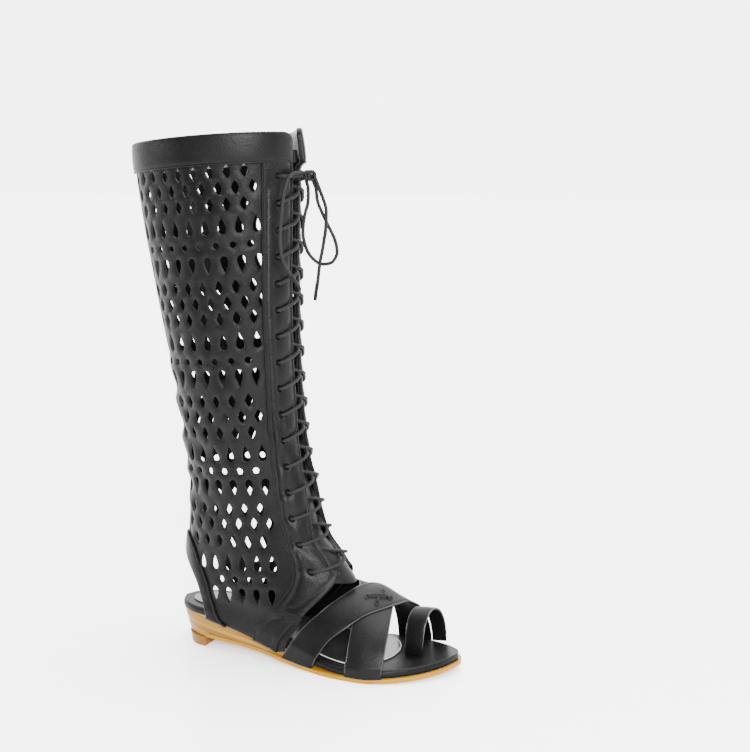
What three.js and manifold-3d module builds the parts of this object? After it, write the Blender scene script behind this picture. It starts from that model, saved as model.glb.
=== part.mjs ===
// Knee-high gladiator sandal with a laced shaft, the right shoe of a pair.
// Millimetres. +X points to the toes, +Y to the wearer's inner side, +Z up from the floor.
// The origin is the middle of the heel lift's underside.
import * as THREE from "three";
import Module from "manifold-3d";
import { mergeVertices } from "three/addons/utils/BufferGeometryUtils.js";

const wasm = await Module();
wasm.setup();

// Sizes of the sole
const FOOT_LENGTH = 252;
const BALL_WIDTH = 93.6;
const OUTSOLE_THICKNESS = 3.3;
const FOOTBED_THICKNESS = 5.7;
const HEEL_RISE = 24.9;
const TOE_SPRING = 5.3;
const HEEL_LIFT_HEIGHT = 9;
const HEEL_LIFT_BACK = 12;
const HEEL_LIFT_FRONT = 36;
const HEEL_LIFT_WIDTH = 52;
const HEEL_RAKE = 6.5;
const INSOLE_THICKNESS = 1;
const INSOLE_MARGIN = 8.5;

// Sizes of the upper
const SHAFT_HEIGHT = 429;
const RIM_DROP = 10.2;
const CALF_WIDTH = 96;
const WALL = 1.8;
const OVERLAY = 1.4;
const BAND_HEIGHT = 23.5;
const THROAT_GAP = 10;
const TONGUE_THICKNESS = 1.5;
const TONGUE_WIDTH = 46;
const TONGUE_LEVEL = 1.0805;
const HOLE_LENGTH = 14;
const HOLE_WIDTH = 6.4;
const HOLE_PITCH = 14;
const HOLE_PERIOD = 92;

// Sizes of the straps and the lace
const STRAP_THICKNESS = 1.6;
const INSTEP_HEIGHT = 84;
const TOE_RING_BORE = 35;
const TOE_RING_RISE = 32;
const LACE_DIAMETER = 2.8;
const LACE_ROWS = 16;
const LACE_CLEARANCE = 0.8;
const STITCH_DIAMETER = 1.8;

// Clearance between pieces that meet
const GAP = 0.3;

// Steps of the faceted surfaces
const ROUND_STEPS = 28;
const SOLE_STEPS = 24;
const STRAP_STEPS = 16;
const CORD_SIDES = 8;

// Sizes worked out from the ones above
const FOREFOOT_THICKNESS = OUTSOLE_THICKNESS + FOOTBED_THICKNESS + GAP;
const HEEL_HEIGHT = FOREFOOT_THICKNESS + HEEL_RISE;
const FOOTBED_INSET = STRAP_THICKNESS + 3 * GAP;
const UPPER_GROW = WALL + 2 * GAP - FOOTBED_INSET;

// A table is written as one row of numbers for each section, under named columns
const table = (names, lines) =>
  lines.map((line) => Object.fromEntries(names.split(" ").map((name, i) => [name, line[i]])));

// Smooth curve through one column of a table, without overshoot
function smooth(rows, column, key = "at") {
  const t = rows.map((row) => row[key]);
  const v = rows.map((row) => row[column]);
  const slope = t.slice(1).map((end, i) => (v[i + 1] - v[i]) / (end - t[i]));
  const tangent = t.map((_, i) => {
    const before = slope[i - 1] ?? slope[i];
    const after = slope[i] ?? slope[i - 1];
    return before * after <= 0 ? 0 : (2 * before * after) / (before + after);
  });
  return (x) => {
    const last = t.length - 1;
    if (x <= t[0]) return v[0];
    if (x >= t[last]) return v[last];
    const i = t.findIndex((end) => end > x) - 1;
    const h = t[i + 1] - t[i];
    const u = (x - t[i]) / h;
    const rise = u * u * (3 - 2 * u);
    const lean = u * (1 - u) * (1 - u) * tangent[i] - u * u * (1 - u) * tangent[i + 1];
    return v[i] + (v[i + 1] - v[i]) * rise + h * lean;
  };
}

// Level 0 is the floor, 1 the footbed at the heel and 2 the top of the shaft's front
const levelHeight = (level) =>
  level < 1 ? level * HEEL_HEIGHT : HEEL_HEIGHT + (level - 1) * (SHAFT_HEIGHT - HEEL_HEIGHT);

// Plan of the foot: shares of its length, half widths as shares of the ball width
const OUTLINE = table("at medial lateral", [
  [0, 0, 0],
  [0.015, 0.122, 0.122],
  [0.05, 0.217, 0.217],
  [0.1, 0.278, 0.283],
  [0.16, 0.306, 0.317],
  [0.3, 0.311, 0.344],
  [0.42, 0.322, 0.389],
  [0.55, 0.378, 0.456],
  [0.66, 0.456, 0.506],
  [0.73, 0.489, 0.511],
  [0.8, 0.483, 0.472],
  [0.87, 0.439, 0.378],
  [0.93, 0.361, 0.244],
  [0.97, 0.272, 0.111],
  [0.99, 0.2, 0],
  [1, 0.1, -0.1],
]);

// Side line of the sole: how much of the heel's rise, toe spring and heel lift each place has
const SIDE_LINE = table("at rise spring lift", [
  [0, 1, 0, 1],
  [0.12, 0.968, 0, 1],
  [0.15, 0.952, 0, 0.96],
  [0.3, 0.775, 0, 0.72],
  [0.35, 0.683, 0, 0.6],
  [0.45, 0.45, 0, 0.33],
  [0.55, 0.215, 0, 0.07],
  [0.6, 0.1, 0, 0],
  [0.7, 0, 0, 0],
  [0.75, 0, 0, 0],
  [0.8, 0, 0.09, 0],
  [0.85, 0, 0.22, 0],
  [0.9, 0, 0.38, 0],
  [1, 0, 1, 0],
]);

// Level sections of the shaft and quarters: ends as shares of the foot's length,
// half width as a share of the calf width
const SHAFT = table("level back front half", [
  [-0.2, 0, 1, 0.344],
  [1.005, 0, 1, 0.344],
  [1.035, 0.008, 0.754, 0.344],
  [1.065, 0.018, 0.683, 0.344],
  [1.096, 0.026, 0.641, 0.339],
  [1.129, 0.032, 0.602, 0.333],
  [1.167, 0.038, 0.552, 0.333],
  [1.217, 0.045, 0.52, 0.336],
  [1.268, 0.047, 0.5, 0.344],
  [1.319, 0.038, 0.478, 0.359],
  [1.369, 0.031, 0.461, 0.38],
  [1.42, 0.02, 0.453, 0.406],
  [1.521, -0.007, 0.441, 0.432],
  [1.623, -0.038, 0.437, 0.458],
  [1.724, -0.069, 0.437, 0.474],
  [1.825, -0.098, 0.441, 0.488],
  [1.927, -0.12, 0.443, 0.496],
  [2.003, -0.126, 0.443, 0.5],
  [2.04, -0.128, 0.443, 0.5],
]);

// How far a quarter takes the foot's plan, by its height over the footbed in heel rises
const FOOT_BLEND = table("at foot", [
  [0.08, 1],
  [0.56, 0.5],
  [1.04, 0.2],
  [1.53, 0.05],
  [2.05, 0],
]);

// Edges of the upper seen from the side: shares of the foot's length, and levels
const SEAM = table("at level", [
  [0.335, 0.1],
  [0.345, 0.485],
  [0.355, 0.76],
  [0.375, 1],
  [0.41, 1.025],
  [0.44, 1.047],
  [0.461, 1.065],
  [0.474, 1.08],
  [0.48, 1.097],
  [0.479, 1.113],
  [0.473, 1.13],
  [0.455, 1.16],
  [0.428, 1.223],
  [0.413, 1.276],
  [0.397, 1.38],
  [0.388, 1.504],
  [0.382, 1.667],
  [0.386, 1.865],
  [0.389, 2.04],
]);
const FRONT_EDGE = table("at level", [
  [0.43, 0.05],
  [0.433, 0.295],
  [0.437, 0.42],
  [0.45, 0.646],
  [0.477, 0.915],
  [0.517, 1.02],
  [0.549, 1.043],
  [0.578, 1.064],
  [0.598, 1.081],
  [0.608, 1.094],
  [0.61, 1.104],
  [0.605, 1.114],
]);
const STRIP_FRONT = table("at level", [
  [-0.04, 1.149],
  [0.045, 1.149],
  [0.08, 1.14],
  [0.116, 1.104],
  [0.143, 1.078],
  [0.164, 1.05],
  [0.184, 1.013],
  [0.202, 0.868],
  [0.22, 0.713],
  [0.236, 0.6],
]);
const STRIP_REAR = table("at level", [
  [-0.04, 1.107],
  [0.04, 1.107],
  [0.052, 1.098],
  [0.09, 1.075],
  [0.123, 1.047],
  [0.147, 1.009],
  [0.156, 0.868],
  [0.16, 0.6],
]);
const LOWER_EDGE = table("at level", [
  [0.1, 0.87],
  [0.159, 0.775],
  [0.235, 0.672],
  [0.35, 0.465],
  [0.436, 0.3],
  [0.6, -0.01],
]);

// Half width of the opening between the stays, in throat gaps
const THROAT = table("level half", [
  [1.03, 1.45],
  [1.1, 1.4],
  [1.14, 1.3],
  [1.17, 1.25],
  [1.22, 1.1],
  [1.28, 0.95],
  [1.38, 0.65],
  [1.5, 0.5],
  [1.965, 0.5],
  [1.982, 0.58],
  [1.993, 0.85],
  [2, 1.3],
  [2.06, 1.5],
]);

// Eyelets beside the throat: how far they lie from the middle, in calf widths
const EYELETS = table("level half", [
  [1.11, 0.245],
  [1.155, 0.228],
  [1.21, 0.224],
  [1.26, 0.22],
  [1.32, 0.203],
  [1.42, 0.2],
  [1.55, 0.196],
  [1.913, 0.198],
]);

// The foremost column of teardrop holes
const HOLE_COLUMN = table("level at", [
  [1.04, 0.411],
  [1.12, 0.409],
  [1.3, 0.382],
  [1.5, 0.363],
  [1.67, 0.36],
  [2, 0.368],
]);

// Rows of teardrops: how far each lies under the rim's front, in periods
const HOLE_ROWS = table("drop", [[0.774], [1.774], [2.774], [3.774]]);

// Outline of one teardrop, in half widths across and lengths along
const TEARDROP = table("across along", [
  [0, 0.57],
  [1, -0.12],
  [0, -0.43],
  [-1, -0.12],
]);

// Arch of the forefoot under the straps: crown height in instep heights,
// place of the crown in ball widths, fullness of the outer flank
const ARCH = table("at crown middle flank", [
  [0.4, 1, 0.107, 1.2],
  [0.5, 0.857, 0.128, 1.2],
  [0.571, 0.768, 0.15, 1.25],
  [0.623, 0.714, 0.171, 1.25],
  [0.659, 0.685, 0.192, 1.25],
  [0.702, 0.661, 0.214, 1.2],
  [0.73, 0.625, 0.214, 1.15],
  [0.77, 0.565, 0.214, 1.05],
  [0.794, 0.542, 0.203, 1],
  [0.817, 0.524, 0.192, 1],
  [0.849, 0.518, 0.182, 1],
  [0.889, 0.488, 0.171, 1],
]);

// Edges of the straps over the foot: turn is 0 at the outer edge and 1 at the inner one
const UPPER_STRAP = table("turn rear front lift", [
  [0, 0.45, 0.57, 0],
  [0.055, 0.472, 0.583, 0],
  [0.155, 0.517, 0.62, 0.3],
  [0.265, 0.576, 0.694, 1],
  [0.37, 0.624, 0.754, 1],
  [0.455, 0.65, 0.787, 1],
  [0.52, 0.674, 0.803, 1],
  [0.61, 0.694, 0.82, 1],
  [0.75, 0.714, 0.837, 0.5],
  [0.88, 0.726, 0.85, 0],
  [1, 0.73, 0.853, 0],
]);
const LOWER_STRAP = table("turn rear front", [
  [0, 0.692, 0.811],
  [0.1, 0.692, 0.812],
  [0.235, 0.685, 0.806],
  [0.38, 0.664, 0.784],
  [0.5, 0.634, 0.752],
  [0.61, 0.6, 0.718],
  [0.75, 0.542, 0.674],
  [0.88, 0.49, 0.618],
  [1, 0.464, 0.592],
]);
const TOE_RING = table("turn rear front", [
  [0, 0.823, 0.885],
  [0.25, 0.822, 0.887],
  [0.5, 0.828, 0.892],
  [0.75, 0.848, 0.903],
  [1, 0.862, 0.912],
]);

// Middle of the sewn cross and half of each of its two cords
const STITCH_CENTRE = { at: 0.7275, turn: 0.422 };
const STITCH_ARMS = { long: { at: 0.0302, turn: 0.0313 }, short: { at: -0.0035, turn: 0.0383 } };

// Centre lines of the bow's cords, chosen by hand
const FRONT_LOOP_ROUTE = [
  [97.2, 2.2, 389.2],
  [98.8, 1, 384.5],
  [99.5, -1, 373.7],
  [97.2, -2.6, 362.9],
  [96, -3.2, 350],
  [97.5, -2.4, 340],
  [100.5, -1, 332.6],
  [104.8, 1, 327.5],
  [107.9, 3, 325.3],
  [112.5, 3.5, 325.1],
  [118.1, 4, 326.8],
  [121.9, 4, 332.2],
  [122.3, 4, 337.4],
  [120.1, 4, 345.6],
  [114.2, 4.5, 356.2],
  [107.3, 5, 369.1],
  [104.6, 5.5, 375.9],
  [103.6, 5.4, 384.4],
  [101.8, 5, 389.4],
];
const FRONT_END_ROUTE = [
  [105.2, 0.9, 392.8],
  [110, -2, 384.9],
  [114.5, -4, 376.2],
  [116.3, -4.6, 372.1],
  [117.3, -5, 367.8],
  [117.3, -5, 360.7],
  [116.5, -5, 350.8],
  [115.8, -5, 347.2],
  [113.8, -5, 336.5],
  [112.7, -5, 332],
  [111.7, -5, 327.3],
  [110.5, -4.5, 321.2],
  [109.2, -4, 312.5],
  [107.5, -3.5, 304.6],
  [106.1, -3, 296.5],
];
const SIDE_END_ROUTE = [
  [97.2, -3.3, 397],
  [93.8, -11.4, 396.8],
  [92.3, -15.6, 395.5],
  [91.2, -19, 392.6],
  [88.9, -20.2, 385],
  [88.2, -21.2, 379.2],
  [87.7, -22.3, 373],
  [86.8, -23.4, 360],
  [86.3, -23.8, 352.4],
  [86, -24, 345],
  [86.6, -22.6, 333],
  [88.1, -22, 327.8],
  [90.2, -20.9, 322.6],
  [93.9, -16.4, 313.8],
  [97, -11.6, 305.6],
];
const KNOT_CENTRE = [98.4, 3.4, 394.6];
const KNOT_SIZE = [13, 12, 9.5];

// Curves read from the tables
const halfWidth = { medial: smooth(OUTLINE, "medial"), lateral: smooth(OUTLINE, "lateral") };
const rise = smooth(SIDE_LINE, "rise");
const spring = smooth(SIDE_LINE, "spring");
const lift = smooth(SIDE_LINE, "lift");
const footBlend = smooth(FOOT_BLEND, "foot");
const atHeights = (rows) => rows.map((row) => ({ ...row, z: levelHeight(row.level) }));
const shaftRows = atHeights(SHAFT);
const shaftBack = smooth(shaftRows, "back", "z");
const shaftFront = smooth(shaftRows, "front", "z");
const shaftHalf = smooth(shaftRows, "half", "z");
const throatHalf = smooth(atHeights(THROAT), "half", "z");
const eyeletHalf = smooth(atHeights(EYELETS), "half", "z");
const holeColumn = smooth(atHeights(HOLE_COLUMN), "at", "z");
const stripFront = smooth([...atHeights(STRIP_FRONT)].reverse().slice(0, -1), "at", "z");
const archCrown = smooth(ARCH, "crown");
const archMiddle = smooth(ARCH, "middle");
const archFlank = smooth(ARCH, "flank");

// Heights along the sole at x, measured from the heel's back
const floorLine = (x) =>
  HEEL_LIFT_HEIGHT * lift(x / FOOT_LENGTH) + TOE_SPRING * spring(x / FOOT_LENGTH);
const footbedTop = (x) =>
  FOREFOOT_THICKNESS + HEEL_RISE * rise(x / FOOT_LENGTH) + TOE_SPRING * spring(x / FOOT_LENGTH);
const outsoleTop = (x) => floorLine(x) + OUTSOLE_THICKNESS;

// Share of a length at an angle round a plan, from 0 at the back to PI at the front
const shareAt = (angle) => (1 - Math.cos(angle)) / 2;
const angleAt = (share) => Math.acos(THREE.MathUtils.clamp(1 - 2 * share, -1, 1));

// Half width of the foot's plan grown outwards
function footWidth(angle, side, grow) {
  const fade = Math.min(1, 1.5 * Math.sin(angle));
  return BALL_WIDTH * halfWidth[side](shareAt(angle)) + grow * fade;
}

// Turns a three.js geometry into a solid for joining and cutting
function solid(geometry) {
  const bare = geometry.index ? geometry.toNonIndexed() : geometry.clone();
  bare.deleteAttribute("normal");
  bare.deleteAttribute("uv");
  const merged = mergeVertices(bare, 1e-4);
  const mesh = new wasm.Mesh({
    numProp: 3,
    vertProperties: new Float32Array(merged.attributes.position.array),
    triVerts: new Uint32Array(merged.index.array),
  });
  mesh.merge();
  return new wasm.Manifold(mesh);
}

// Skin over a row of closed rings, with a fan on each end
function loft(rings) {
  const size = rings[0].length;
  const points = rings.flat();
  const faces = [];
  for (let i = 0; i + 1 < rings.length; i++) {
    for (let j = 0; j < size; j++) {
      const a = i * size + j;
      const b = i * size + ((j + 1) % size);
      faces.push([a, b, b + size], [a, b + size, a + size]);
    }
  }
  for (const end of [0, rings.length - 1]) {
    const centre = new THREE.Vector3();
    rings[end].forEach((point) => centre.addScaledVector(point, 1 / size));
    points.push(centre);
    for (let j = 0; j < size; j++) {
      const edge = [end * size + ((j + 1) % size), end * size + j];
      faces.push(end === 0 ? [...edge, points.length - 1] : [edge[1], edge[0], points.length - 1]);
    }
  }
  const volume = faces.reduce((sum, [a, b, c]) => {
    return sum + points[a].dot(new THREE.Vector3().crossVectors(points[b], points[c]));
  }, 0);
  const corners = faces.flatMap((face) => (volume > 0 ? face : [face[0], face[2], face[1]]));
  const geometry = new THREE.BufferGeometry();
  const position = corners.flatMap((corner) => points[corner].toArray());
  geometry.setAttribute("position", new THREE.Float32BufferAttribute(position, 3));
  return solid(geometry);
}

// Prism over a plan in X and Z that runs across the shoe, from y to y
function sidePrism(outline, from, to) {
  const shape = new THREE.Shape(outline.map(([x, z]) => new THREE.Vector2(x, z)));
  const geometry = new THREE.ExtrudeGeometry(shape, { depth: to - from, bevelEnabled: false });
  return solid(geometry.rotateX(Math.PI / 2).translate(0, to, 0));
}

// Prism over a plan in Y and Z that runs along the shoe, from x to x
function frontPrism(outline, from, to) {
  const shape = new THREE.Shape(outline.map(([y, z]) => new THREE.Vector2(y, z)));
  const geometry = new THREE.ExtrudeGeometry(shape, { depth: to - from, bevelEnabled: false });
  const [x, y, z] = [[1, 0, 0], [0, 1, 0], [0, 0, 1]].map((axis) => new THREE.Vector3(...axis));
  return solid(geometry.applyMatrix4(new THREE.Matrix4().makeBasis(y, z, x)).translate(from, 0, 0));
}

// Tube along a smooth route
function cord(route, diameter, sides, steps) {
  const circle = Array.from({ length: sides }, (_, i) => {
    const angle = (2 * Math.PI * i) / sides;
    return new THREE.Vector2(Math.cos(angle), Math.sin(angle)).multiplyScalar(diameter / 2);
  });
  const path = new THREE.CatmullRomCurve3(route.map((point) => new THREE.Vector3(...point)));
  const options = { steps, extrudePath: path, bevelEnabled: false };
  return solid(new THREE.ExtrudeGeometry(new THREE.Shape(circle), options));
}

// Places along the sole at which every layer has a section
const STATIONS = Array.from({ length: SOLE_STEPS - 1 }, (_, i) => {
  return FOOT_LENGTH * shareAt((Math.PI * (i + 1)) / SOLE_STEPS);
});
const TIP_SHARES = [0.0012, 0.007, 0.022];

// Layer of the sole between two heights, from one x to another. The lower edge may rake in
// under the heel, and the upper edge may be rounded.
function soleLayer({ from, to, grow, bottom, top, rake = 0, round = 0, front = () => 1 }) {
  const reach = FOOT_LENGTH * 0.25;
  const spreadAt = typeof grow === "function" ? grow : () => grow;
  const placed = (share, spread) => -spread + share * (FOOT_LENGTH + 2 * spread);
  const heel = TIP_SHARES.map((share) => placed(share, spreadAt(0)));
  const toe = TIP_SHARES.map((share) => placed(1 - share, spreadAt(FOOT_LENGTH))).reverse();
  const between = STATIONS.filter((x) => x > heel[2] + 1 && x < toe[0] - 1);
  const wanted = [...heel, ...between, ...toe].filter((x) => x > from + 1 && x < to - 1);
  const ends = [from > heel[0] ? [from] : [], to < toe[2] ? [to] : []];
  const rings = [...ends[0], ...wanted, ...ends[1]].map((x) => {
    const spread = spreadAt(x);
    const angle = angleAt((x + spread) / (FOOT_LENGTH + 2 * spread));
    const left = footWidth(angle, "medial", spread) * front(x);
    const right = -footWidth(angle, "lateral", spread) * front(x);
    const low = x < reach ? x + rake * (1 - (x - from) / (reach - from)) : x;
    const [z0, z1] = [bottom(x), top(x)];
    const corner = Math.min(round, (left - right) / 4);
    const profile = [[low, right, z0], [x, right, z1 - corner]];
    if (round > 0) profile.push([x, right + corner, z1], [x, left - corner, z1]);
    profile.push([x, left, z1 - corner], [low, left, z0]);
    return profile.map((point) => new THREE.Vector3(...point));
  });
  return loft(rings);
}

// Point of the shaft's surface at a height and an angle, negative on the outer side
function shaftPoint(z, angle, grow) {
  const turn = Math.abs(angle);
  const side = angle < 0 ? "lateral" : "medial";
  const back = FOOT_LENGTH * shaftBack(z) - grow;
  const front = FOOT_LENGTH * shaftFront(z) + grow;
  const x = back + shareAt(turn) * (front - back);
  const over = z - footbedTop(THREE.MathUtils.clamp(x, 0, FOOT_LENGTH));
  const foot = footBlend(over / HEEL_RISE);
  const oval = (CALF_WIDTH * shaftHalf(z) + grow) * Math.sin(turn);
  const width = (1 - foot) * oval + foot * footWidth(turn, side, grow);
  return new THREE.Vector3(x, side === "lateral" ? -width : width, z);
}

// Levels at which the shaft's form has a section
const SECTIONS = [
  0.1, 0.55, 0.8, 1.005, 1.035, 1.065, 1.096, 1.129, 1.167, 1.217, 1.268, 1.319, 1.369, 1.42,
  1.521, 1.724, 1.927, 2.01,
];

// Closed form of the shaft and quarters, grown outwards from the wall's outer face
function shaftForm(grow, reach = 0) {
  const rings = SECTIONS.map(levelHeight).map((z, row) => {
    const end = row === 0 ? -reach : row === SECTIONS.length - 1 ? reach : 0;
    return Array.from({ length: ROUND_STEPS }, (_, i) => {
      const angle = -Math.PI + (2 * Math.PI * (i + 0.5)) / ROUND_STEPS;
      return shaftPoint(z, angle, UPPER_GROW + grow).add(new THREE.Vector3(0, 0, end));
    });
  });
  return loft(rings);
}

// Shell of one thickness whose inner face is grown outwards from the wall's outer face
const shaftShell = (grow, thickness) => shaftForm(grow + thickness).subtract(shaftForm(grow, 4));

// Cutters that give the upper and its overlays their edges
const FAR = FOOT_LENGTH + SHAFT_HEIGHT;
const sideLine = (rows) => rows.map((row) => [row.at * FOOT_LENGTH, levelHeight(row.level)]);
const wholeWidth = (outline) => sidePrism(outline, -FAR, FAR);
const frontLine = sideLine(FRONT_EDGE);
const throatFoot = frontLine[frontLine.length - 1];
const shaftDepth = FOOT_LENGTH * (shaftFront(SHAFT_HEIGHT) - shaftBack(SHAFT_HEIGHT));
const rimHeight = (x) => {
  const behind = Math.max(0, FOOT_LENGTH * shaftFront(SHAFT_HEIGHT) - x);
  return SHAFT_HEIGHT - RIM_DROP * (behind / shaftDepth) ** 1.5;
};
const rimLine = (drop) =>
  [-1.2, -0.16, -0.08, 0.05, 0.15, 0.25, 0.34, 0.4, 0.46, 3].map((share) => {
    const x = share * FOOT_LENGTH;
    return [x, rimHeight(Math.max(x, FOOT_LENGTH * shaftBack(SHAFT_HEIGHT))) - drop];
  });
const above = (line) => wholeWidth([...line, [line[line.length - 1][0], FAR], [line[0][0], FAR]]);
const below = (line) => wholeWidth([...line, [line[line.length - 1][0], -FAR], [line[0][0], -FAR]]);
const throatRows = atHeights(THROAT);
const throatSide = throatRows.map((row) => [row.half * THROAT_GAP, row.z]);
const throatCut = frontPrism(
  [...throatSide, ...[...throatSide].reverse().map(([y, z]) => [-y, z])],
  FOOT_LENGTH * 0.36,
  FAR,
);
const frontCut = wholeWidth([...frontLine, [FAR, throatFoot[1]], [FAR, -FAR], [frontLine[0][0], -FAR]]);
const heelLine = sideLine(STRIP_REAR);
const heelFoot = heelLine[heelLine.length - 1];
const heelCut = wholeWidth([[-FAR, heelLine[0][1]], ...heelLine, [heelFoot[0], -FAR], [-FAR, -FAR]]);
const lowerCut = below(sideLine(LOWER_EDGE));
const trim = (form, cutters) => cutters.reduce((rest, cutter) => rest.subtract(cutter), form);

// Outsole: a thin sheet, flush with the quarters at the waist and with the straps in front
function makeOutsole() {
  const waist = (x) => THREE.MathUtils.smoothstep(x / FOOT_LENGTH, 0.38, 0.46);
  return soleLayer({
    from: HEEL_LIFT_FRONT + GAP,
    to: FOOT_LENGTH,
    grow: (x) => (waist(x) - 1) * FOOTBED_INSET,
    bottom: floorLine,
    top: outsoleTop,
  });
}

// Wedge of stacked wood look: from the heel's back to where the sole is flat
function makeWedge() {
  const stepped = (x) => (x < HEEL_LIFT_FRONT + GAP ? HEEL_LIFT_HEIGHT : outsoleTop(x) + GAP);
  const body = soleLayer({
    from: 0,
    to: FOOT_LENGTH * 0.6,
    grow: -FOOTBED_INSET - GAP,
    bottom: (x) => Math.min(HEEL_LIFT_HEIGHT, outsoleTop(x) + GAP),
    top: (x) => footbedTop(x) - FOOTBED_THICKNESS - GAP,
    rake: HEEL_RAKE,
  });
  const tail = [[HEEL_LIFT_FRONT, HEEL_LIFT_HEIGHT - 1]];
  for (let i = 0; i <= 12; i++) {
    const x = HEEL_LIFT_FRONT + GAP / 2 + (FOOT_LENGTH * 0.62 - HEEL_LIFT_FRONT) * (i / 12);
    tail.push([x, stepped(x + GAP)]);
  }
  tail.push([FOOT_LENGTH * 0.63, -FAR], [HEEL_LIFT_FRONT, -FAR]);
  return body.subtract(wholeWidth(tail));
}

// Heel lift: a plain block with a round back and a straight front
function makeHeelLift() {
  const shape = new THREE.Shape();
  const length = HEEL_LIFT_FRONT - HEEL_LIFT_BACK;
  shape.absellipse(HEEL_LIFT_FRONT, 0, length, HEEL_LIFT_WIDTH / 2, Math.PI / 2, 1.5 * Math.PI);
  shape.closePath();
  const depth = HEEL_LIFT_HEIGHT - GAP;
  return solid(new THREE.ExtrudeGeometry(shape, { depth, curveSegments: 20, bevelEnabled: false }));
}

// Footbed: wrapped in leather, with a rounded upper edge
function makeFootbed() {
  return soleLayer({
    from: 0,
    to: FOOT_LENGTH,
    grow: -FOOTBED_INSET,
    bottom: (x) => footbedTop(x) - FOOTBED_THICKNESS,
    top: footbedTop,
    round: FOOTBED_THICKNESS * 0.3,
  });
}

// Insole: a thin shiny sheet with a rounded front behind the toes
function makeInsole() {
  const end = FOOT_LENGTH * 0.795;
  const curve = FOOT_LENGTH * 0.09;
  const start = end - curve;
  const front = (x) => (x < start ? 1 : Math.sqrt(Math.max(0.02, 1 - ((x - start) / curve) ** 2)));
  return soleLayer({
    from: 0,
    to: end,
    grow: -FOOTBED_INSET - INSOLE_MARGIN,
    bottom: (x) => footbedTop(x) + GAP,
    top: (x) => footbedTop(x) + GAP + INSOLE_THICKNESS,
    front,
  });
}

// Angle on one side of a section at a length along the wall from the back
function angleAlong(z, side, wanted) {
  const steps = 160;
  let length = 0;
  let before = shaftPoint(z, 0, UPPER_GROW);
  for (let i = 1; i <= steps; i++) {
    const angle = (side * Math.PI * i) / steps;
    const point = shaftPoint(z, angle, UPPER_GROW);
    length += point.distanceTo(before);
    if (wanted(point, length)) return { angle, length, point };
    before = point;
  }
  return { angle: side * Math.PI, length, point: before };
}

// Teardrop plug through the wall at a place on a section
function holePlug(z, side, along) {
  const { angle, point } = angleAlong(z, side, (_, length) => length >= along);
  const next = shaftPoint(z, angle + side * 0.02, UPPER_GROW);
  const across = next.sub(point).normalize();
  const up = new THREE.Vector3(0, 0, 1);
  const out = new THREE.Vector3().crossVectors(across, up);
  const outline = TEARDROP.map((corner) => {
    const x = (corner.across * HOLE_WIDTH) / 2;
    return new THREE.Vector2(x, corner.along * HOLE_LENGTH);
  });
  const depth = 4 * WALL;
  const shape = new THREE.Shape(outline);
  const geometry = new THREE.ExtrudeGeometry(shape, { depth, bevelEnabled: false });
  geometry.translate(0, 0, -depth / 2);
  geometry.applyMatrix4(new THREE.Matrix4().makeBasis(across, up, out));
  geometry.translate(...point.toArray());
  return solid(geometry);
}

// All teardrops: each row starts at the foremost column and steps back to the heel line
function makeHoles() {
  const plugs = [];
  for (const row of HOLE_ROWS) {
    const z = SHAFT_HEIGHT - row.drop * HOLE_PERIOD;
    const foremost = FOOT_LENGTH * holeColumn(z);
    for (const side of [-1, 1]) {
      const { length } = angleAlong(z, side, (point) => point.x >= foremost);
      for (let along = length; along > HOLE_PITCH * 0.7; along -= HOLE_PITCH) {
        const { point } = angleAlong(z, side, (_, reached) => reached >= along);
        const clear = z > levelHeight(1.17) || point.x > FOOT_LENGTH * stripFront(z) + HOLE_WIDTH;
        if (clear) plugs.push(holePlug(z, side, along));
      }
    }
  }
  return wasm.Manifold.union(plugs);
}

// Upper: one hollow wall, open at the rim, the throat, the heel and underneath
function makeUpper() {
  const shell = shaftForm(0).subtract(shaftForm(-WALL, 4));
  const edges = [above(rimLine(0)), throatCut, frontCut, heelCut, lowerCut, makeHoles()];
  return trim(shell, edges);
}

// Band round the top of the shaft
function makeBand() {
  const shell = shaftShell(GAP, OVERLAY);
  return trim(shell, [above(rimLine(0)), below(rimLine(BAND_HEIGHT)), throatCut]);
}

// Stay beside the throat, from the seam to the front edge
function makeStay(side) {
  const seam = sideLine(SEAM);
  const cover = [...seam, [FAR, seam[seam.length - 1][1]], [FAR, -FAR], [seam[0][0], -FAR]];
  const half = sidePrism(cover, side > 0 ? 0 : -FAR, side > 0 ? FAR : 0);
  const shell = shaftShell(GAP, OVERLAY).intersect(half);
  return trim(shell, [above(rimLine(BAND_HEIGHT + GAP)), throatCut, frontCut, lowerCut]);
}

// Strip that binds the heel opening and runs round behind the heel
function makeStrip() {
  const outer = sideLine(STRIP_FRONT);
  const foot = outer[outer.length - 1];
  const cover = [...outer, [foot[0], -FAR], [-FAR, -FAR], [-FAR, outer[0][1]]];
  const shell = shaftShell(GAP, OVERLAY).intersect(wholeWidth(cover));
  return trim(shell, [heelCut, lowerCut]);
}

// Tongue: a sheet behind the throat that follows the upper's inner face
function makeTongue() {
  const shell = shaftShell(-WALL - GAP - TONGUE_THICKNESS, TONGUE_THICKNESS);
  const half = TONGUE_WIDTH / 2;
  const [low, high] = [levelHeight(TONGUE_LEVEL), SHAFT_HEIGHT - WALL];
  const cover = [[-half, low], [half, low], [half, high], [-half, high]];
  return shell.intersect(frontPrism(cover, FOOT_LENGTH * 0.31, FAR));
}

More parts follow.
